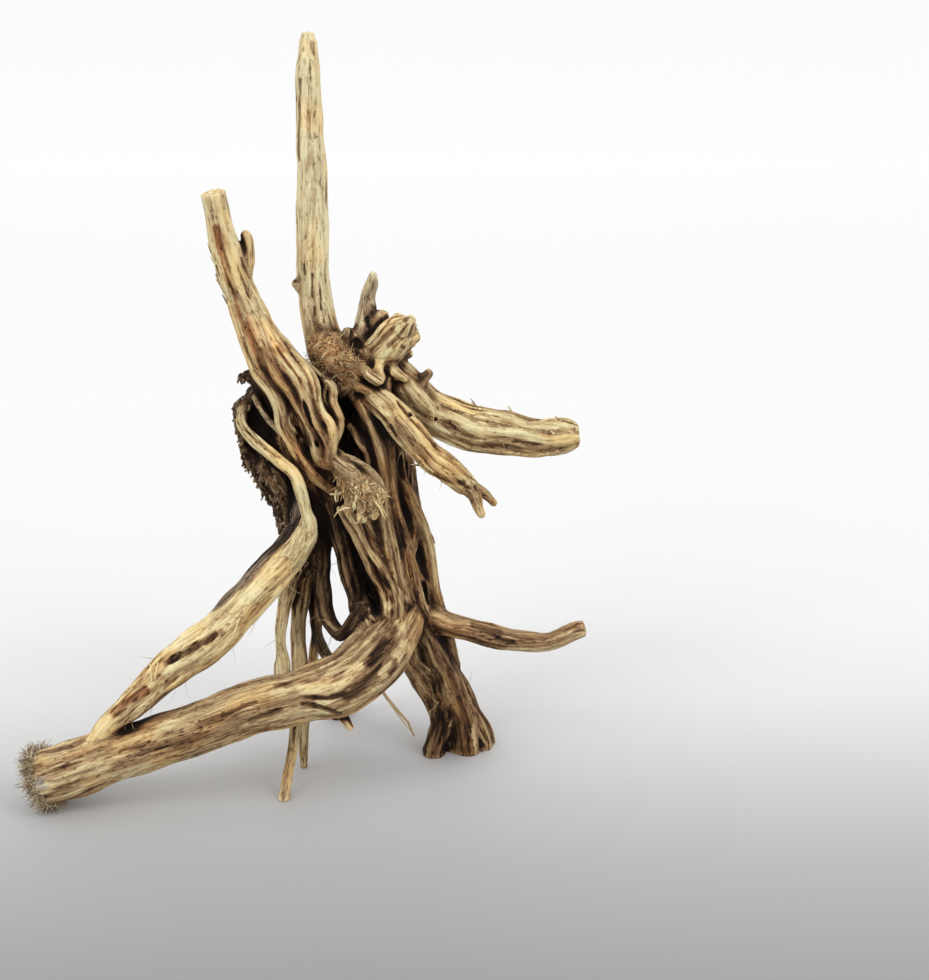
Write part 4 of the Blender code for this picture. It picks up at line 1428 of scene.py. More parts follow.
HOLLOWS: tuple[Hollow, ...] = (
    Hollow("elbow_trough", ((165, 662), (180, 655), (198, 645), (221, 630)), 3.4, 1.7),
    Hollow("elbow_hole_low", ((168, 662), (173, 658), (180, 653)), 2.3, -0.5),
    Hollow("elbow_hole_high", ((206, 644), (211, 639), (217, 633)), 1.7, 0.1),
    Hollow("stump_hole_high", ((345, 398), (348, 416)), 4.5, -3),
    Hollow("stump_hole_middle", ((350, 442), (349, 455)), 4.5, -3),
    Hollow("stump_hole_low", ((341, 493), (341, 503)), 4, -2.5),
    Hollow("arm_hollow", ((403, 456), (402, 467), (406, 479)), 2.5, -0.6),
    Hollow("crown_hollow", ((356, 340), (361, 346)), 2.6, -1.2),
    Hollow("crown_slit_left", ((347, 332), (348, 352)), 1.1, -0.6),
    Hollow("crown_slit_right", ((352.5, 330), (352.5, 349)), 1.1, -0.6),
    Hollow("trunk_slit", ((423, 582), (429, 604)), 1.6, -0.8),
    Hollow("second_arm_knot", ((459, 482), (465, 484)), 1.1, 0),
    Hollow("slit_one", ((293, 412), (300, 436), (310, 456)), 1.5, -0.8),
    Hollow("slit_two", ((303, 400), (312, 428)), 1.3, -0.6),
    Hollow("slit_three", ((316, 442), (321, 470)), 1.4, -0.8),
    Hollow("slit_arm", ((396, 400), (410, 414), (436, 420)), 1.8, -0.8),
    Hollow("stub_slit_one", ((385, 351), (396, 339), (405, 330)), 0.9, -0.3),
    Hollow("stub_slit_two", ((378, 345), (388, 333), (396, 324)), 0.9, -0.3),
    Hollow("elbow_split", ((241, 418), (246, 430), (256, 441), (268, 450), (280, 459)), 0.9, -0.2),
    Hollow("elbow_split_low", ((246, 418), (253, 431), (262, 441), (272, 450)), 0.8, -0.2),
    Hollow("arm_groove", ((302, 704), (314, 705), (326, 709), (340, 713)), 1.3, 0.4),
    Hollow("arm_groove_left", ((250, 721), (265, 715), (282, 708)), 1.1, 0.4),
    Hollow("arm_groove_top", ((262, 692), (300, 678), (335, 664), (360, 646)), 1.1, 0.4),
    Hollow("arm_groove_middle", ((300, 697), (330, 698), (350, 692), (372, 676), (388, 656)), 1.4, 0.4),
)


@dataclass(frozen=True)
class Figure:
    """A noise pattern in a finish.

    Args:
        scale: One over its size in millimetres, across the grain twice and then along it.
        detail: How fine it is.
        distortion: How far it is bent.
    """

    scale: Triple
    detail: float = 2.0
    distortion: float = 0.0


class Graph:
    """Builds one material's nodes. Where a method takes a value, that is a number or a socket."""

    def __init__(self, name: str) -> None:
        """Starts a material.

        Args:
            name: The material's name.
        """
        self.material = bpy.data.materials.new(name)
        self.material.use_nodes = True
        self.tree = self.material.node_tree
        self.shader = self.tree.nodes["Principled BSDF"]

    def set(self, socket: Socket, value: object) -> None:
        """Links or sets a socket.

        Args:
            socket: The socket.
            value: What it takes.
        """
        if isinstance(value, Socket):
            self.tree.links.new(value, socket)
        else:
            socket.default_value = value

    def math(self, operation: str, a: object, b: object = 0.0) -> Socket:
        """Adds a Math node.

        Args:
            operation: What it does.
            a: Its first value.
            b: Its second value.

        Returns:
            Its output.
        """
        node = self.tree.nodes.new("ShaderNodeMath")
        node.operation = operation
        self.set(node.inputs[0], a)
        self.set(node.inputs[1], b)
        return node.outputs[0]

    def times(self, a: object, b: object) -> Socket:
        """Multiplies two values."""
        return self.math("MULTIPLY", a, b)

    def swing(self, value: object, middle: float, amount: object) -> Socket:
        """Gives how far a value is past its middle, times an amount."""
        return self.times(self.math("SUBTRACT", value, middle), amount)

    def total(self, *values: object) -> Socket:
        """Adds values up, in their order."""
        return reduce(lambda a, b: self.math("ADD", a, b), values)

    def figured(self, vector: Socket, figure: Figure) -> Socket:
        """Adds a Noise Texture of scale 1, read at a scaled place.

        Args:
            vector: The place.
            figure: The pattern.

        Returns:
            Its value.
        """
        place = self.tree.nodes.new("ShaderNodeVectorMath")
        place.operation = "MULTIPLY"
        self.set(place.inputs[0], vector)
        self.set(place.inputs[1], figure.scale)
        node = self.tree.nodes.new("ShaderNodeTexNoise")
        self.set(node.inputs["Vector"], place.outputs[0])
        node.inputs["Scale"].default_value = 1.0
        node.inputs["Detail"].default_value = figure.detail
        node.inputs["Distortion"].default_value = figure.distortion
        return node.outputs[0]

    def ramp(
        self,
        value: object,
        low: float,
        high: float,
        to_low: float = 0.0,
        to_high: float = 1.0,
        linear: bool = False,
    ) -> Socket:
        """Takes a value from one range to another.

        Args:
            value: The value.
            low: Where the first range starts.
            high: Where it ends.
            to_low: Where the second starts.
            to_high: Where it ends.
            linear: True to go evenly, False to ease in and out.

        Returns:
            The value in the second range.
        """
        node = self.tree.nodes.new("ShaderNodeMapRange")
        node.interpolation_type = "LINEAR" if linear else "SMOOTHSTEP"
        self.set(node.inputs["Value"], value)
        ends = (("From Min", low), ("From Max", high), ("To Min", to_low), ("To Max", to_high))
        for name, number in ends:
            node.inputs[name].default_value = number
        return node.outputs[0]

    def mix(self, share: object, a: object, b: object, blend: str = "MIX") -> Socket:
        """Mixes two colours.

        Args:
            share: How much of the second it takes.
            a: The first.
            b: The second.
            blend: How they mix.

        Returns:
            The mixed colour.
        """
        node = self.tree.nodes.new("ShaderNodeMix")
        node.data_type = "RGBA"
        node.blend_type = blend
        self.set(node.inputs[0], share)
        self.set(node.inputs[6], a)
        self.set(node.inputs[7], b)
        return node.outputs[2]

    def shades(self, value: object, stops: tuple[tuple[float, Quad], ...]) -> Socket:
        """Turns a value into a colour.

        Args:
            value: The value.
            stops: Each colour and the value that has it.

        Returns:
            The colour.
        """
        node = self.tree.nodes.new("ShaderNodeValToRGB")
        self.set(node.inputs[0], value)
        elements = node.color_ramp.elements
        while len(elements) > 1:
            elements.remove(elements[0])
        elements[0].position, elements[0].color = stops[0]
        for place, colour in stops[1:]:
            elements.new(place).color = colour
        return node.outputs[0]

    def attribute(self, name: str) -> bpy.types.Node:
        """Adds an Attribute node.

        Args:
            name: The attribute's name.

        Returns:
            The node.
        """
        node = self.tree.nodes.new("ShaderNodeAttribute")
        node.attribute_name = name
        return node


@dataclass(frozen=True)
class WeatheredWood:
    """The finish of old root: pale wood under what is left of a brown skin, with shade painted dark into
    its grooves, creases and hollows.
    """

    shades: tuple[tuple[float, Quad], ...] = (
        (0.05, (0.80, 0.705, 0.41, 1)),
        (0.24, (0.62, 0.50, 0.265, 1)),
        (0.42, (0.37, 0.25, 0.125, 1)),
        (0.60, (0.18, 0.105, 0.05, 1)),
        (0.78, (0.06, 0.031, 0.014, 1)),
        (1.00, (0.010, 0.005, 0.003, 1)),
    )
    red_tint: Quad = (1.15, 0.78, 0.66, 1)
    warm_tint: Quad = (1.1, 0.96, 0.8, 1)
    ash_tint: Quad = (1.05, 0.98, 0.86, 1)
    roughness: float = 0.78
    patch: Figure = Figure((0.15, 0.15, 0.013), 3.0, 0.15)
    streak: Figure = Figure((0.42, 0.42, 0.032), 3.0)
    hair: Figure = Figure((1.25, 1.25, 0.09))
    pit: Figure = Figure((0.75, 0.75, 0.24), 3.0, 0.4)
    line: Figure = Figure((0.55, 0.55, 0.03), 1.0)
    line_break: Figure = Figure((0.3, 0.3, 0.06), 1.0)
    warmth: Figure = Figure((0.06, 0.06, 0.03))

    def material(self) -> bpy.types.Material:
        """Builds the finish.

        Returns:
            The material, which reads the pieces' grain and wear, the wear with its painted shade.
        """
        g = Graph("weathered_wood_and_painted_shade")
        grain = g.attribute("grain").outputs["Vector"]
        wear_and_painted_shade = g.attribute("wear_and_painted_shade")
        split = g.tree.nodes.new("ShaderNodeSeparateColor")
        g.set(split.inputs[0], wear_and_painted_shade.outputs["Color"])
        # The first column of the wear is painted shade of creases, hollows, flutes and cracks, with a few
        # dark spots; then come the wood's shade, red and grey.
        dark, shade, red = split.outputs[0], split.outputs[1], split.outputs[2]
        patch, streak = g.figured(grain, self.patch), g.figured(grain, self.streak)
        hair = g.figured(grain, self.hair)
        pit = g.ramp(g.figured(grain, self.pit), 0.54, 0.68)
        line = g.math("ABSOLUTE", g.math("SUBTRACT", g.figured(grain, self.line), 0.5))
        line = g.ramp(line, 0.0, 0.022, 1.0, 0.0)
        line = g.times(line, g.ramp(g.figured(grain, self.line_break), 0.5, 0.6))
        # The value puts the painted shade over the wood's own shade and its patterns.
        value = g.total(
            shade,
            g.times(dark, 0.6),
            g.ramp(patch, 0.44, 0.58, -0.07, 0.1),
            g.swing(streak, 0.5, 0.62),
            g.swing(hair, 0.5, 0.5),
            g.times(line, 0.3),
            g.swing(pit, 0.14, g.ramp(patch, 0.4, 0.6, 0.1, 0.28)),
        )
        colour = g.shades(value, self.shades)
        warm = g.ramp(g.figured(grain, self.warmth), 0.45, 0.65)
        colour = g.mix(warm, colour, self.warm_tint, "MULTIPLY")
        colour = g.mix(g.times(red, g.ramp(patch, 0.36, 0.6)), colour, self.red_tint, "MULTIPLY")
        ash = g.tree.nodes.new("ShaderNodeRGBToBW")
        g.set(ash.inputs[0], colour)
        ash = g.mix(1.0, ash.outputs[0], self.ash_tint, "MULTIPLY")
        colour = g.mix(g.times(wear_and_painted_shade.outputs["Alpha"], 0.7), colour, ash)
        rough = g.ramp(streak, 0.3, 0.7, self.roughness - 0.08, self.roughness + 0.1)
        g.set(g.shader.inputs["Base Color"], colour)
        g.set(g.shader.inputs["Roughness"], rough)
        g.shader.inputs["Specular IOR Level"].default_value = 0.15
        height = g.total(g.times(streak, 1.4), g.times(hair, 0.8))
        height = g.math("SUBTRACT", height, g.times(line, 0.5))
        height = g.math("SUBTRACT", height, g.times(pit, 0.7))
        bump = g.tree.nodes.new("ShaderNodeBump")
        bump.inputs["Strength"].default_value = 0.6
        bump.inputs["Distance"].default_value = 0.001
        g.set(bump.inputs["Height"], height)
        g.set(g.shader.inputs["Normal"], bump.outputs[0])
        return g.material


@dataclass(frozen=True)
class Side:
    """One flat side of a block of wood: an axis, a height on it in millimetres, and which way is kept."""

    axis: int
    height: float
    above: bool


@dataclass(frozen=True)
class Block:
    """A block that the wood is made in, as the space between flat sides."""

    name: str
    sides: tuple[Side, ...]

    def holds(self, places: np.ndarray, slack: float) -> np.ndarray:
        """Tells which places are in the block.

        Args:
            places: The places.
            slack: How far outside still counts as in.

        Returns:
            True or False for each place.
        """
        inside = np.ones(len(places), bool)
        for side in self.sides:
            over = places[:, side.axis] - side.height
            inside &= (over if side.above else -over) > -slack
        return inside


CROWN, SHOULDER, HIP, KNEE = 262.0, 200.0, 140.0, 72.0
LEFT, RIGHT = -22.0, 66.0
BLOCKS = (
    Block("crown", (Side(2, CROWN, True),)),
    Block("right_arms", (Side(2, CROWN, False), Side(2, HIP, True), Side(0, RIGHT, True))),
    Block("stump", (Side(2, CROWN, False), Side(2, SHOULDER, True), Side(0, RIGHT, False))),
    Block("strands", (Side(2, SHOULDER, False), Side(2, HIP, True), Side(0, RIGHT, False))),
    Block("left_arms", (Side(2, HIP, False), Side(0, LEFT, False))),
    Block("trunk", (Side(2, HIP, False), Side(2, KNEE, True), Side(0, LEFT, True))),
    Block("feet", (Side(2, KNEE, False), Side(0, LEFT, True))),
)


def piece_of(
    mesh: bpy.types.Mesh, grain: np.ndarray, wear_and_painted_shade: np.ndarray, material: bpy.types.Material
) -> bpy.types.Object:
    """Makes a piece from a mesh, and makes it the one that operators work on.

    Args:
        mesh: The mesh, named as the piece is to be.
        grain: The place of each of its points along its strand.
        wear_and_painted_shade: The painted shade, shade, red and grey of each.
        material: Its finish.

    Returns:
        The piece.
    """
    values = mesh.attributes.new("grain", "FLOAT_VECTOR", "POINT")
    values.data.foreach_set("vector", np.asarray(grain, np.float32).ravel())
    values = mesh.attributes.new("wear_and_painted_shade", "FLOAT_COLOR", "POINT")
    values.data.foreach_set("color", np.asarray(wear_and_painted_shade, np.float32).ravel())
    mesh.materials.append(material)
    piece = bpy.data.objects.new(mesh.name, mesh)
    bpy.context.scene.collection.objects.link(piece)
    deselect_all()
    piece.select_set(True)
    bpy.context.view_layer.objects.active = piece
    return piece


def hand_over(piece: bpy.types.Object) -> None:
    """Puts a finished piece on its body and in the place of the solid.

    Args:
        piece: The piece.
    """
    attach(piece, BODY)
    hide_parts(NODE)
    log.info("%s: %d faces", piece.name, len(piece.data.polygons))


@dataclass
class RootWood:
    """The whole root, carved from its runs and made in blocks that meet face to face.

    Args:
        cell: Size of the field's cells in millimetres.
        blend: Fillet where a strand meets the rest, as a share of its radius.
        least_blend: The smallest fillet.
        most_blend: The largest fillet.
        hollow_rim: Rounding of a hollow's rim.
        pad: Room left round the solid's box.
        slack: How many cells past a block's sides its skin is taken before it is cut.
    """

    cell: float = 0.8
    blend: float = 0.8
    least_blend: float = 1.2
    most_blend: float = 4.5
    hollow_rim: float = 1.0
    pad: float = 4.0
    slack: int = 4

    def carved(self) -> Skin:
        """Joins every run and weathers the skin.

        Returns:
            The skin.
        """
        tubes = tubes_of(RUNS, RIDGE_SEED) + tubes_of(DRESSING, RIDGE_SEED)
        draw = random.Random(DETAIL_SEED)
        for group in CRAGS + WEBS:
            tubes += group.tubes(draw)
        tubes = [roughened(tube, number) for number, tube in enumerate(tubes)]
        low, high = (np.array(corner) * 1000 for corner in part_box(NODE))
        low[2] = 0.0
        wood = WoodField(low - self.pad, high + self.pad, self.cell)
        for index, tube in enumerate(tubes):
            blend = max(self.blend * float(np.median(tube.radii)), self.least_blend)
            wood.add(tube, index, min(blend, self.most_blend))
        marks = [(mark, wood.seen(mark.pixels)) for mark in MARKS]
        for axis, radii in [hollow.path(wood) for hollow in HOLLOWS]:
            wood.carve(axis, radii, self.hollow_rim)
        wood.cut_level()
        log.info("field of %s cells from %d tubes", wood.distance.shape, len(tubes))
        skin = Skin(wood, tubes, marks)
        log.info("skin of %d points and %d faces", len(skin.points), len(skin.faces))
        skin.weather()
        return skin

    def block(self, block: Block, skin: Skin, material: bpy.types.Material) -> bpy.types.Object:
        """Makes one block of the wood, closed where it meets its neighbours.

        Args:
            block: The block.
            skin: The skin.
            material: Its finish.

        Returns:
            The piece.
        """
        inside = block.holds(skin.points, self.slack * self.cell)
        faces = skin.faces[inside[skin.faces].any(axis=1)]
        used, index = np.unique(faces, return_inverse=True)
        mesh = bpy.data.meshes.new(block.name)
        faces = index.reshape(faces.shape)
        mesh.vertices.add(len(used))
        mesh.vertices.foreach_set("co", (skin.points[used] * MM).astype(np.float32).ravel())
        mesh.loops.add(faces.size)
        mesh.loops.foreach_set("vertex_index", faces.astype(np.int32).ravel())
        mesh.polygons.add(len(faces))
        mesh.polygons.foreach_set("loop_start", np.arange(0, faces.size, 4, dtype=np.int32))
        mesh.update(calc_edges=True)
        mesh.polygons.foreach_set("use_smooth", np.ones(len(faces), bool))
        piece = piece_of(mesh, skin.grain[used], skin.wear_and_painted_shade[used], material)
        self.close(block)
        hand_over(piece)
        return piece

    def close(self, block: Block) -> None:
        """Cuts the piece that operators work on at its block's sides and fills each cut.

        Args:
            block: Its block.
        """
        bpy.ops.object.mode_set(mode="EDIT")
        bpy.ops.mesh.select_mode(type="FACE")
        for side in block.sides:
            place = [0.0, 0.0, 0.0]
            place[side.axis] = side.height * MM
            way = [0.0, 0.0, 0.0]
            way[side.axis] = 1.0
            bpy.ops.mesh.select_all(action="SELECT")
            bpy.ops.mesh.bisect(
                plane_co=place,
                plane_no=way,
                use_fill=True,
                clear_inner=side.above,
                clear_outer=not side.above,
                threshold=1e-7,
            )
            bpy.ops.mesh.faces_shade_flat()
            bpy.ops.mesh.mark_sharp()
        bpy.ops.object.mode_set(mode="OBJECT")

    def build(self, finish: WeatheredWood) -> list[bpy.types.Object]:
        """Makes every block.

        Args:
            finish: The wood's finish.

        Returns:
            The pieces.
        """
        skin = self.carved()
        material = finish.material()
        pieces = [self.block(block, skin, material) for block in BLOCKS]
        return pieces + LooseGrowth(skin).build(material)


@dataclass(frozen=True)
class Thread:
    """One fibre, splinter or twig.

    Args:
        points: Its axis in millimetres, from its root to its tip.
        root: Its radius at the root.
        tip: Its radius at the tip.
        wear_and_painted_shade: Its painted shade, which is none, then its shade, red and grey.
    """

    points: np.ndarray
    root: float
    tip: float
    wear_and_painted_shade: Quad


@dataclass(frozen=True)
class Growth:
    """How a group of threads grows from the skin.

    Args:
        length: Their shortest and longest length in millimetres.
        radius: Their thinnest and thickest root.
        lift: How far they stand off the skin, as a share.
        stray: How far each turns its own way, as a share.
        curl: How far each bends along its length, as a share.
        shade: Their palest and darkest shade.
        red: How reddish they are.
        grey: How grey they are.
        steps: How many pieces each is made of.
        taper: Its tip's radius as a share of its root's.
    """

    length: Pair
    radius: Pair
    lift: float
    stray: float
    curl: float
    shade: Pair
    red: float = 0.0
    grey: float = 0.0
    steps: int = 4
    taper: float = 0.4

    def threads(
        self, roots: np.ndarray, outward: np.ndarray, along: np.ndarray, draw: np.random.Generator
    ) -> list[Thread]:
        """Grows one thread from each root.

        Args:
            roots: The roots' places.
            outward: The way out of the wood at each root.
            along: The way that all of them lean, or one way for each.
            draw: Seeded draws.

        Returns:
            The threads.
        """
        made = []
        leans = np.broadcast_to(along, roots.shape)
        for place, out, lean in zip(roots, outward, leans):
            way = out * self.lift + lean + self.stray * draw.normal(size=3)
            way /= np.linalg.norm(way)
            bend = self.curl * draw.normal(size=3)
            step = draw.uniform(*self.length) / self.steps
            points = [place - out * 0.4]
            for _ in range(self.steps):
                points.append(points[-1] + way * step)
                points[-1][2] = max(points[-1][2], FLOOR_GAP)
                way = way + bend + 0.3 * self.curl * draw.normal(size=3)
                way /= np.linalg.norm(way)
            thick = draw.uniform(*self.radius)
            wear_and_painted_shade = (0.0, draw.uniform(*self.shade), self.red, self.grey)
            made.append(Thread(np.array(points), thick, thick * self.taper, wear_and_painted_shade))
        return made


@dataclass
class Threads:
    """A group of threads made as one piece.

    Args:
        name: The piece's name.
        threads: The threads.
        sides: How many sides each has.
    """

    name: str
    threads: list[Thread]
    sides: int = 3

    def build(self, material: bpy.types.Material) -> bpy.types.Object:
        """Makes the piece.

        Args:
            material: Its finish.

        Returns:
            The piece, closed at every root and tip.
        """
        points, faces, grain, wear_and_painted_shade = [], [], [], []
        turns = np.arange(self.sides) * math.tau / self.sides
        ring = np.stack((np.cos(turns), np.sin(turns)), axis=1)
        for number, thread in enumerate(self.threads):
            count = len(thread.points)
            ways = np.gradient(thread.points, axis=0)
            ways /= np.linalg.norm(ways, axis=1)[:, None]
            side = np.cross(ways, (0.0, 0.0, 1.0) if abs(ways[0][2]) < 0.8 else (1.0, 0.0, 0.0))
            side /= np.linalg.norm(side, axis=1)[:, None]
            up = np.cross(ways, side)
            radii = np.linspace(thread.root, thread.tip, count)
            base = len(points) * self.sides
            for k in range(count):
                out = ring[:, :1] * side[k] + ring[:, 1:] * up[k]
                points.append(thread.points[k] + radii[k] * out)
                grain += [(STRAND_GAP * number, 0.0, STEP * k)] * self.sides
                wear_and_painted_shade += [thread.wear_and_painted_shade] * self.sides
            for k in range(count - 1):
                for i in range(self.sides):
                    a, b = base + k * self.sides + i, base + k * self.sides + (i + 1) % self.sides
                    faces.append((a, b, b + self.sides, a + self.sides))
            faces.append(tuple(base + i for i in reversed(range(self.sides))))
            faces.append(tuple(base + (count - 1) * self.sides + i for i in range(self.sides)))
        mesh = bpy.data.meshes.new(self.name)
        mesh.from_pydata((np.concatenate(points) * MM).tolist(), [], faces)
        piece = piece_of(mesh, grain, wear_and_painted_shade, material)
        bpy.ops.object.mode_set(mode="EDIT")
        bpy.ops.mesh.select_all(action="SELECT")
        bpy.ops.mesh.normals_make_consistent(inside=False)
        bpy.ops.mesh.faces_shade_smooth()
        bpy.ops.object.mode_set(mode="OBJECT")
        hand_over(piece)
        return piece


BRUSH = Growth((3.0, 9.0), (0.18, 0.36), 0.55, 0.5, 0.2, (0.1, 0.6), grey=0.6)
MASS_FIBRE = Growth((2.5, 6.0), (0.18, 0.34), 0.1, 0.8, 0.45, (0.12, 0.6), red=0.8)
BURL_FIBRE = Growth((2.5, 6.5), (0.3, 0.6), 0.16, 0.32, 0.28, (0.05, 0.6), red=0.3)
BURL_SHRED = Growth((6.0, 13.0), (1.0, 1.9), 0.14, 0.2, 0.3, (0.1, 0.5), red=0.2, steps=6, taper=0.3)
WHISKER = Growth((6.0, 16.0), (0.12, 0.22), 0.4, 0.6, 0.12, (0.15, 0.4), steps=6)
SPLINTER = Growth((3.0, 7.0), (0.5, 1.2), 0.3, 0.14, 0.06, (0.15, 0.5), grey=0.2)
BARK_FLAKE = Growth((1.8, 4.5), (0.8, 1.8), 0.14, 0.24, 0.2, (0.4, 0.72), grey=0.4, steps=3, taper=0.5)
TWIGS = (
    (((378, 684, -62), (387, 698, -58), (399, 712, -52), (408, 722, -48), (414, 736, -44)),
        1.1, 0.5, (0, 0.5, 0.1, 0)),
    (((388, 700, -58), (396, 712, -55), (405, 724, -50), (412, 732, -46)), 0.5, 0.3, (0, 0.5, 0.1, 0)),
    (((422, 527, -6), (428, 531, -9), (432, 537, -9), (434, 543, -8)), 1.4, 0.7, (0, 0.6, 0.1, 0.2)),
    (((352, 508, -52), (345, 508, -56), (338, 511, -58), (334, 517, -57)), 0.7, 0.3, (0, 0.14, 0, 0)),
    (((374, 500, -53), (380, 508, -56), (383, 515, -57), (386, 520, -56)), 0.6, 0.3, (0, 0.16, 0, 0)),
    (((364, 514, -55), (360, 522, -58), (353, 524, -59), (349, 521, -58)), 0.6, 0.3, (0, 0.2, 0, 0)),
    (((150, 664, -80), (151, 676, -84), (153, 688, -84), (148, 698, -83)), 0.35, 0.2, (0, 0.12, 0, 0)),
    (((158, 662, -80), (155, 676, -85), (157, 690, -85)), 0.3, 0.2, (0, 0.12, 0, 0)),
    (((240, 616, -68), (236, 628, -73), (230, 640, -75), (227, 648, -74)), 0.4, 0.2, (0, 0.12, 0, 0)),
    (((430, 404, -12), (434, 414, -14), (433, 424, -13)), 0.35, 0.2, (0, 0.12, 0, 0)),
)


def twig(spots: tuple[Triple, ...], root: float, tip: float, wear_and_painted_shade: Quad) -> Thread:
    """Makes a twig from pixels and depths, its radii at root and tip, and its wear with its painted shade.
    """
    return Thread(SIGHT.at_depth(np.array(spots, dtype=float))[0], root, tip, wear_and_painted_shade)


@dataclass
class LooseGrowth:
    """Everything thin that grows on the wood: brush, fibres, splinters, flakes and twigs.

    Args:
        skin: The wood's skin.
        burl_fray: The lowest and highest place of the burl's shreds in millimetres.
        horn_fray: The lowest and highest place of the horn's splinters.
        rim: How far past the lower arm's sawn face the brush grows, below 0 behind it.
        rim_lean: How far the brush leans out of that face and up.
    """

    skin: Skin
    burl_fray: Pair = (177.0, 192.0)
    horn_fray: Pair = (285.0, 322.0)
    rim: Pair = (-6.0, 0.6)
    rim_lean: Pair = (0.3, 0.1)

    def rooted(
        self,
        growth: Growth,
        runs: tuple[str, ...],
        count: int,
        along: Triple,
        draw: np.random.Generator,
        wanted: np.ndarray | None = None,
    ) -> list[Thread]:
        """Grows threads from points of some runs.

        Args:
            growth: How they grow.
            runs: The runs' names.
            count: How many threads.
            along: The way that they lean.
            draw: Seeded draws.
            wanted: Which points may carry one, or None for all.

        Returns:
            The threads.
        """
        chosen = self.skin.pick(runs, count, draw, wanted)
        roots, outward = self.skin.points[chosen], self.skin.normals[chosen]
        return growth.threads(roots, outward, np.array(along), draw)

    def brush(self, draw: np.random.Generator) -> list[Thread]:
        """Grows the brush round the lower arm's sawn end.

        Args:
            draw: Seeded draws.

        Returns:
            The threads.
        """
        end, face = next(tube.end for tube in self.skin.tubes if tube.run == "lower_arm")
        depth = (self.skin.points - end) @ face
        rim = (depth > self.rim[0]) & (depth < self.rim[1])
        lean = tuple(face * self.rim_lean[0] + (0, 0, self.rim_lean[1]))
        return self.rooted(BRUSH, ("lower_arm",), 1500, lean, draw, rim)

    def build(self, material: bpy.types.Material) -> list[bpy.types.Object]:
        """Makes every group.

        Args:
            material: The wood's finish.

        Returns:
            The pieces.
        """
        draw = np.random.default_rng(DETAIL_SEED)
        normals, heights = self.skin.normals, self.skin.points[:, 2]
        mass = ("root_fibre_mass", "fibre_mass_low", "mass_top", "mass_low", "mass_spire")
        burl = ("burl", "burl_prong_a", "burl_prong_b", "burl_prong_c", "burl_prong_d")
        bark = ("crag_top", "crag_side", "crag_low", "crag_rib", "left_fill")
        arms = ("upper_right_arm", "second_right_arm")
        front = normals[:, 1] < 0.3
        low_burl = front & (heights > self.burl_fray[0]) & (heights < self.burl_fray[1])
        horn_edge = (heights > self.horn_fray[0]) & (heights < self.horn_fray[1])
        horn_edge &= normals[:, 0] < -0.6
        under = normals[:, 2] < -0.5
        groups = [
            Threads("arm_brush", self.brush(draw)),
            Threads("mass_fibres", self.rooted(MASS_FIBRE, mass, 1200, (0, 0, 0), draw, front)),
            Threads(
                "burl_fibres",
                self.rooted(BURL_FIBRE, burl, 120, (0.35, -0.45, -0.7), draw, low_burl)
                + self.rooted(BURL_SHRED, burl, 34, (0.3, -0.4, -0.8), draw, low_burl),
            ),
            Threads(
                "splinters",
                self.rooted(SPLINTER, ("horn",), 32, (-0.2, 0, 0.95), draw, horn_edge)
                + self.rooted(SPLINTER, arms, 14, (-0.5, 0, 0.4), draw)
                + self.rooted(BARK_FLAKE, bark, 170, (-0.12, 0, -0.9), draw, normals[:, 0] < 0.2),
            ),
            Threads(
                "whiskers",
                self.rooted(WHISKER, ("elbow_arm",), 26, (-0.4, 0, -0.3), draw, under)
                + self.rooted(WHISKER, ("elbow_arm", *arms), 22, (-0.3, -0.2, 0.1), draw)
                + self.rooted(
                    WHISKER, ("loop_root", "strand_l", "back_root_a", "trunk"), 40, (0, 0, -0.3), draw
                ),
            ),
            Threads("twigs", [twig(*values) for values in TWIGS], 6),
        ]
        return [group.build(material) for group in groups]


def deselect_all() -> None:
    for obj in bpy.context.selected_objects:
        obj.select_set(False)


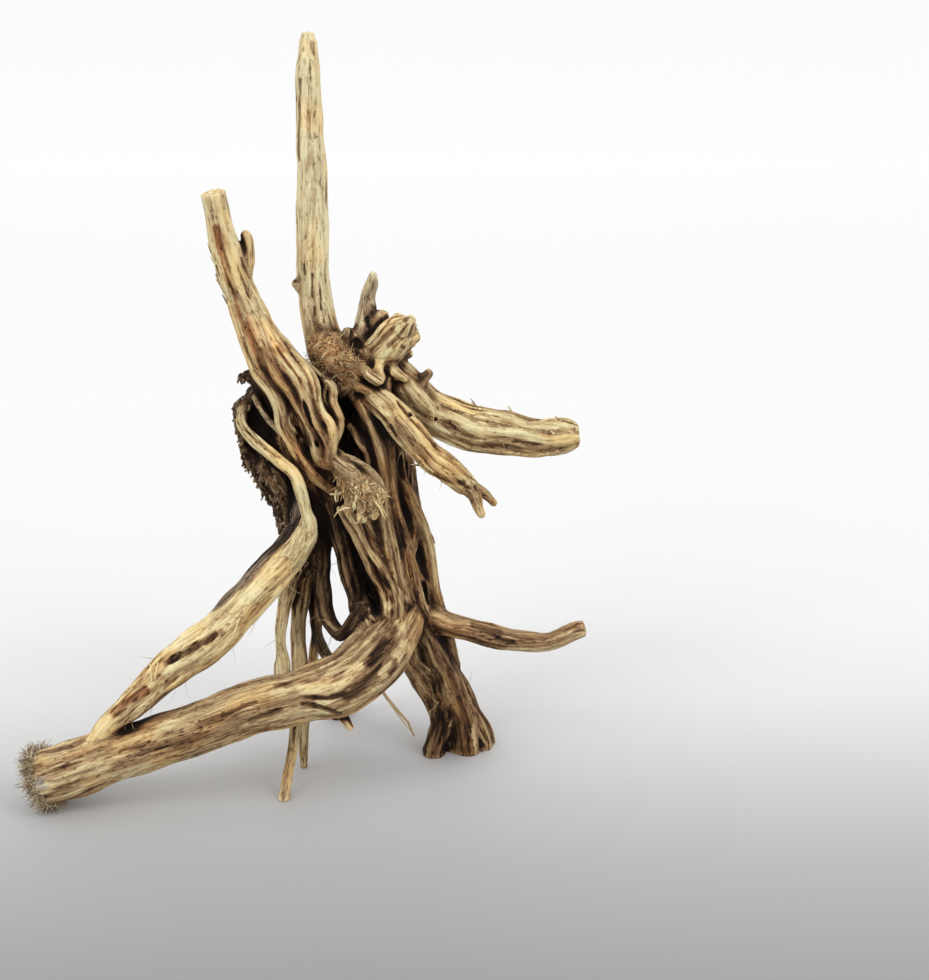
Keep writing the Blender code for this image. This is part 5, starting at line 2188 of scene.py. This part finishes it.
@dataclass
class Studio:
    """The pale floor, painted darker towards the front as light falloff, the soft light and the camera.
    Lengths are in metres.

    Args:
        floor_size: Width of the floor.
        floor_place: Where its middle lies.
        floor_front: Where its painted falloff of light starts, on the y axis.
        floor_back: Where it ends.
        floor_painted_falloff: How pale it is at each share of the way between: painted light falloff,
            darker towards the front.
        aim: What the lights shine at.
        lights: Each light's name, place and power in watts.
        light_size: Width of a light.
    """

    floor_size: float = 30.0
    floor_place: Triple = (0.0, 8.0, 0.0)
    floor_front: float = -0.45
    floor_back: float = 2.5
    floor_painted_falloff: tuple[Pair, ...] = (
        (0.0, 0.22), (0.072, 0.30), (0.112, 0.40), (0.145, 0.52), (0.185, 0.68),
        (0.233, 0.77), (0.277, 0.80), (0.44, 0.86), (1.0, 0.97),
    )
    aim: Triple = (0.0, 0.0, 0.2)
    lights: tuple[tuple[str, Triple, float], ...] = (
        ("left_softbox", (-1.1, -1.2, 1.5), 12.0),
        ("right_softbox", (1.2, -1.0, 1.3), 8.0),
    )
    light_size: float = 0.9

    def floor(self) -> bpy.types.Object:
        """Lays the floor.

        Returns:
            The floor.
        """
        deselect_all()
        bpy.ops.mesh.primitive_plane_add(size=self.floor_size, location=self.floor_place)
        floor = bpy.context.object
        floor.name = "floor"
        bpy.ops.object.transform_apply(location=True, rotation=True, scale=True)
        g = Graph("pale_floor_painted_falloff")
        where = g.tree.nodes.new("ShaderNodeTexCoord").outputs["Object"]
        split = g.tree.nodes.new("ShaderNodeSeparateXYZ")
        g.set(split.inputs[0], where)
        share = g.ramp(split.outputs[1], self.floor_front, self.floor_back, linear=True)
        # Painted light falloff: the floor's colour darkens towards the front, under and before the wood.
        stops = tuple((place, (tone, tone, tone, 1)) for place, tone in self.floor_painted_falloff)
        g.set(g.shader.inputs["Base Color"], g.shades(share, stops))
        g.shader.inputs["Roughness"].default_value = 0.6
        g.shader.inputs["Specular IOR Level"].default_value = 0.2
        floor.data.materials.append(g.material)
        return floor

    def light(self, name: str, place: Triple, power: float) -> None:
        """Hangs one soft light.

        Args:
            name: Its name.
            place: Where it hangs.
            power: Its power in watts.
        """
        lamp = bpy.data.lights.new(name, "AREA")
        lamp.shape = "SQUARE"
        lamp.size = self.light_size
        lamp.energy = power
        obj = bpy.data.objects.new(name, lamp)
        obj.location = place
        obj.rotation_euler = (Vector(self.aim) - Vector(place)).to_track_quat("-Z", "Y").to_euler()
        bpy.context.scene.collection.objects.link(obj)

    def build(self) -> None:
        """Sets up the floor, the lights, the surroundings and the camera."""
        self.floor()
        for name, place, power in self.lights:
            self.light(name, place, power)
        world = bpy.data.worlds.new("studio")
        world.use_nodes = True
        world.node_tree.nodes["Background"].inputs["Color"].default_value = (1, 1, 1, 1)
        world.node_tree.nodes["Background"].inputs["Strength"].default_value = 1.0
        bpy.context.scene.world = world
        bpy.context.scene.view_settings.view_transform = "Standard"
        camera = bpy.data.cameras.new("camera")
        camera.lens = SIGHT.lens
        camera.sensor_width = SIGHT.sensor
        camera.sensor_fit = "AUTO"
        camera.clip_end = 100.0
        obj = bpy.data.objects.new("camera", camera)
        obj.location = Vector(SIGHT.place) * MM
        obj.rotation_euler = (math.radians(SIGHT.pitch), 0, 0)
        bpy.context.scene.collection.objects.link(obj)
        bpy.context.scene.camera = obj


def corners(bounds: tuple) -> list[list[float]]:
    """Turns a box into plain lists of numbers."""
    return [[float(value) for value in corner] for corner in bounds]


def main() -> None:
    """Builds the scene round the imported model."""
    logging.basicConfig(level=logging.INFO, format="%(message)s")
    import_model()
    Studio().build()
    wood = RootWood()
    wood.build(WeatheredWood())


if __name__ == "__main__":
    main()
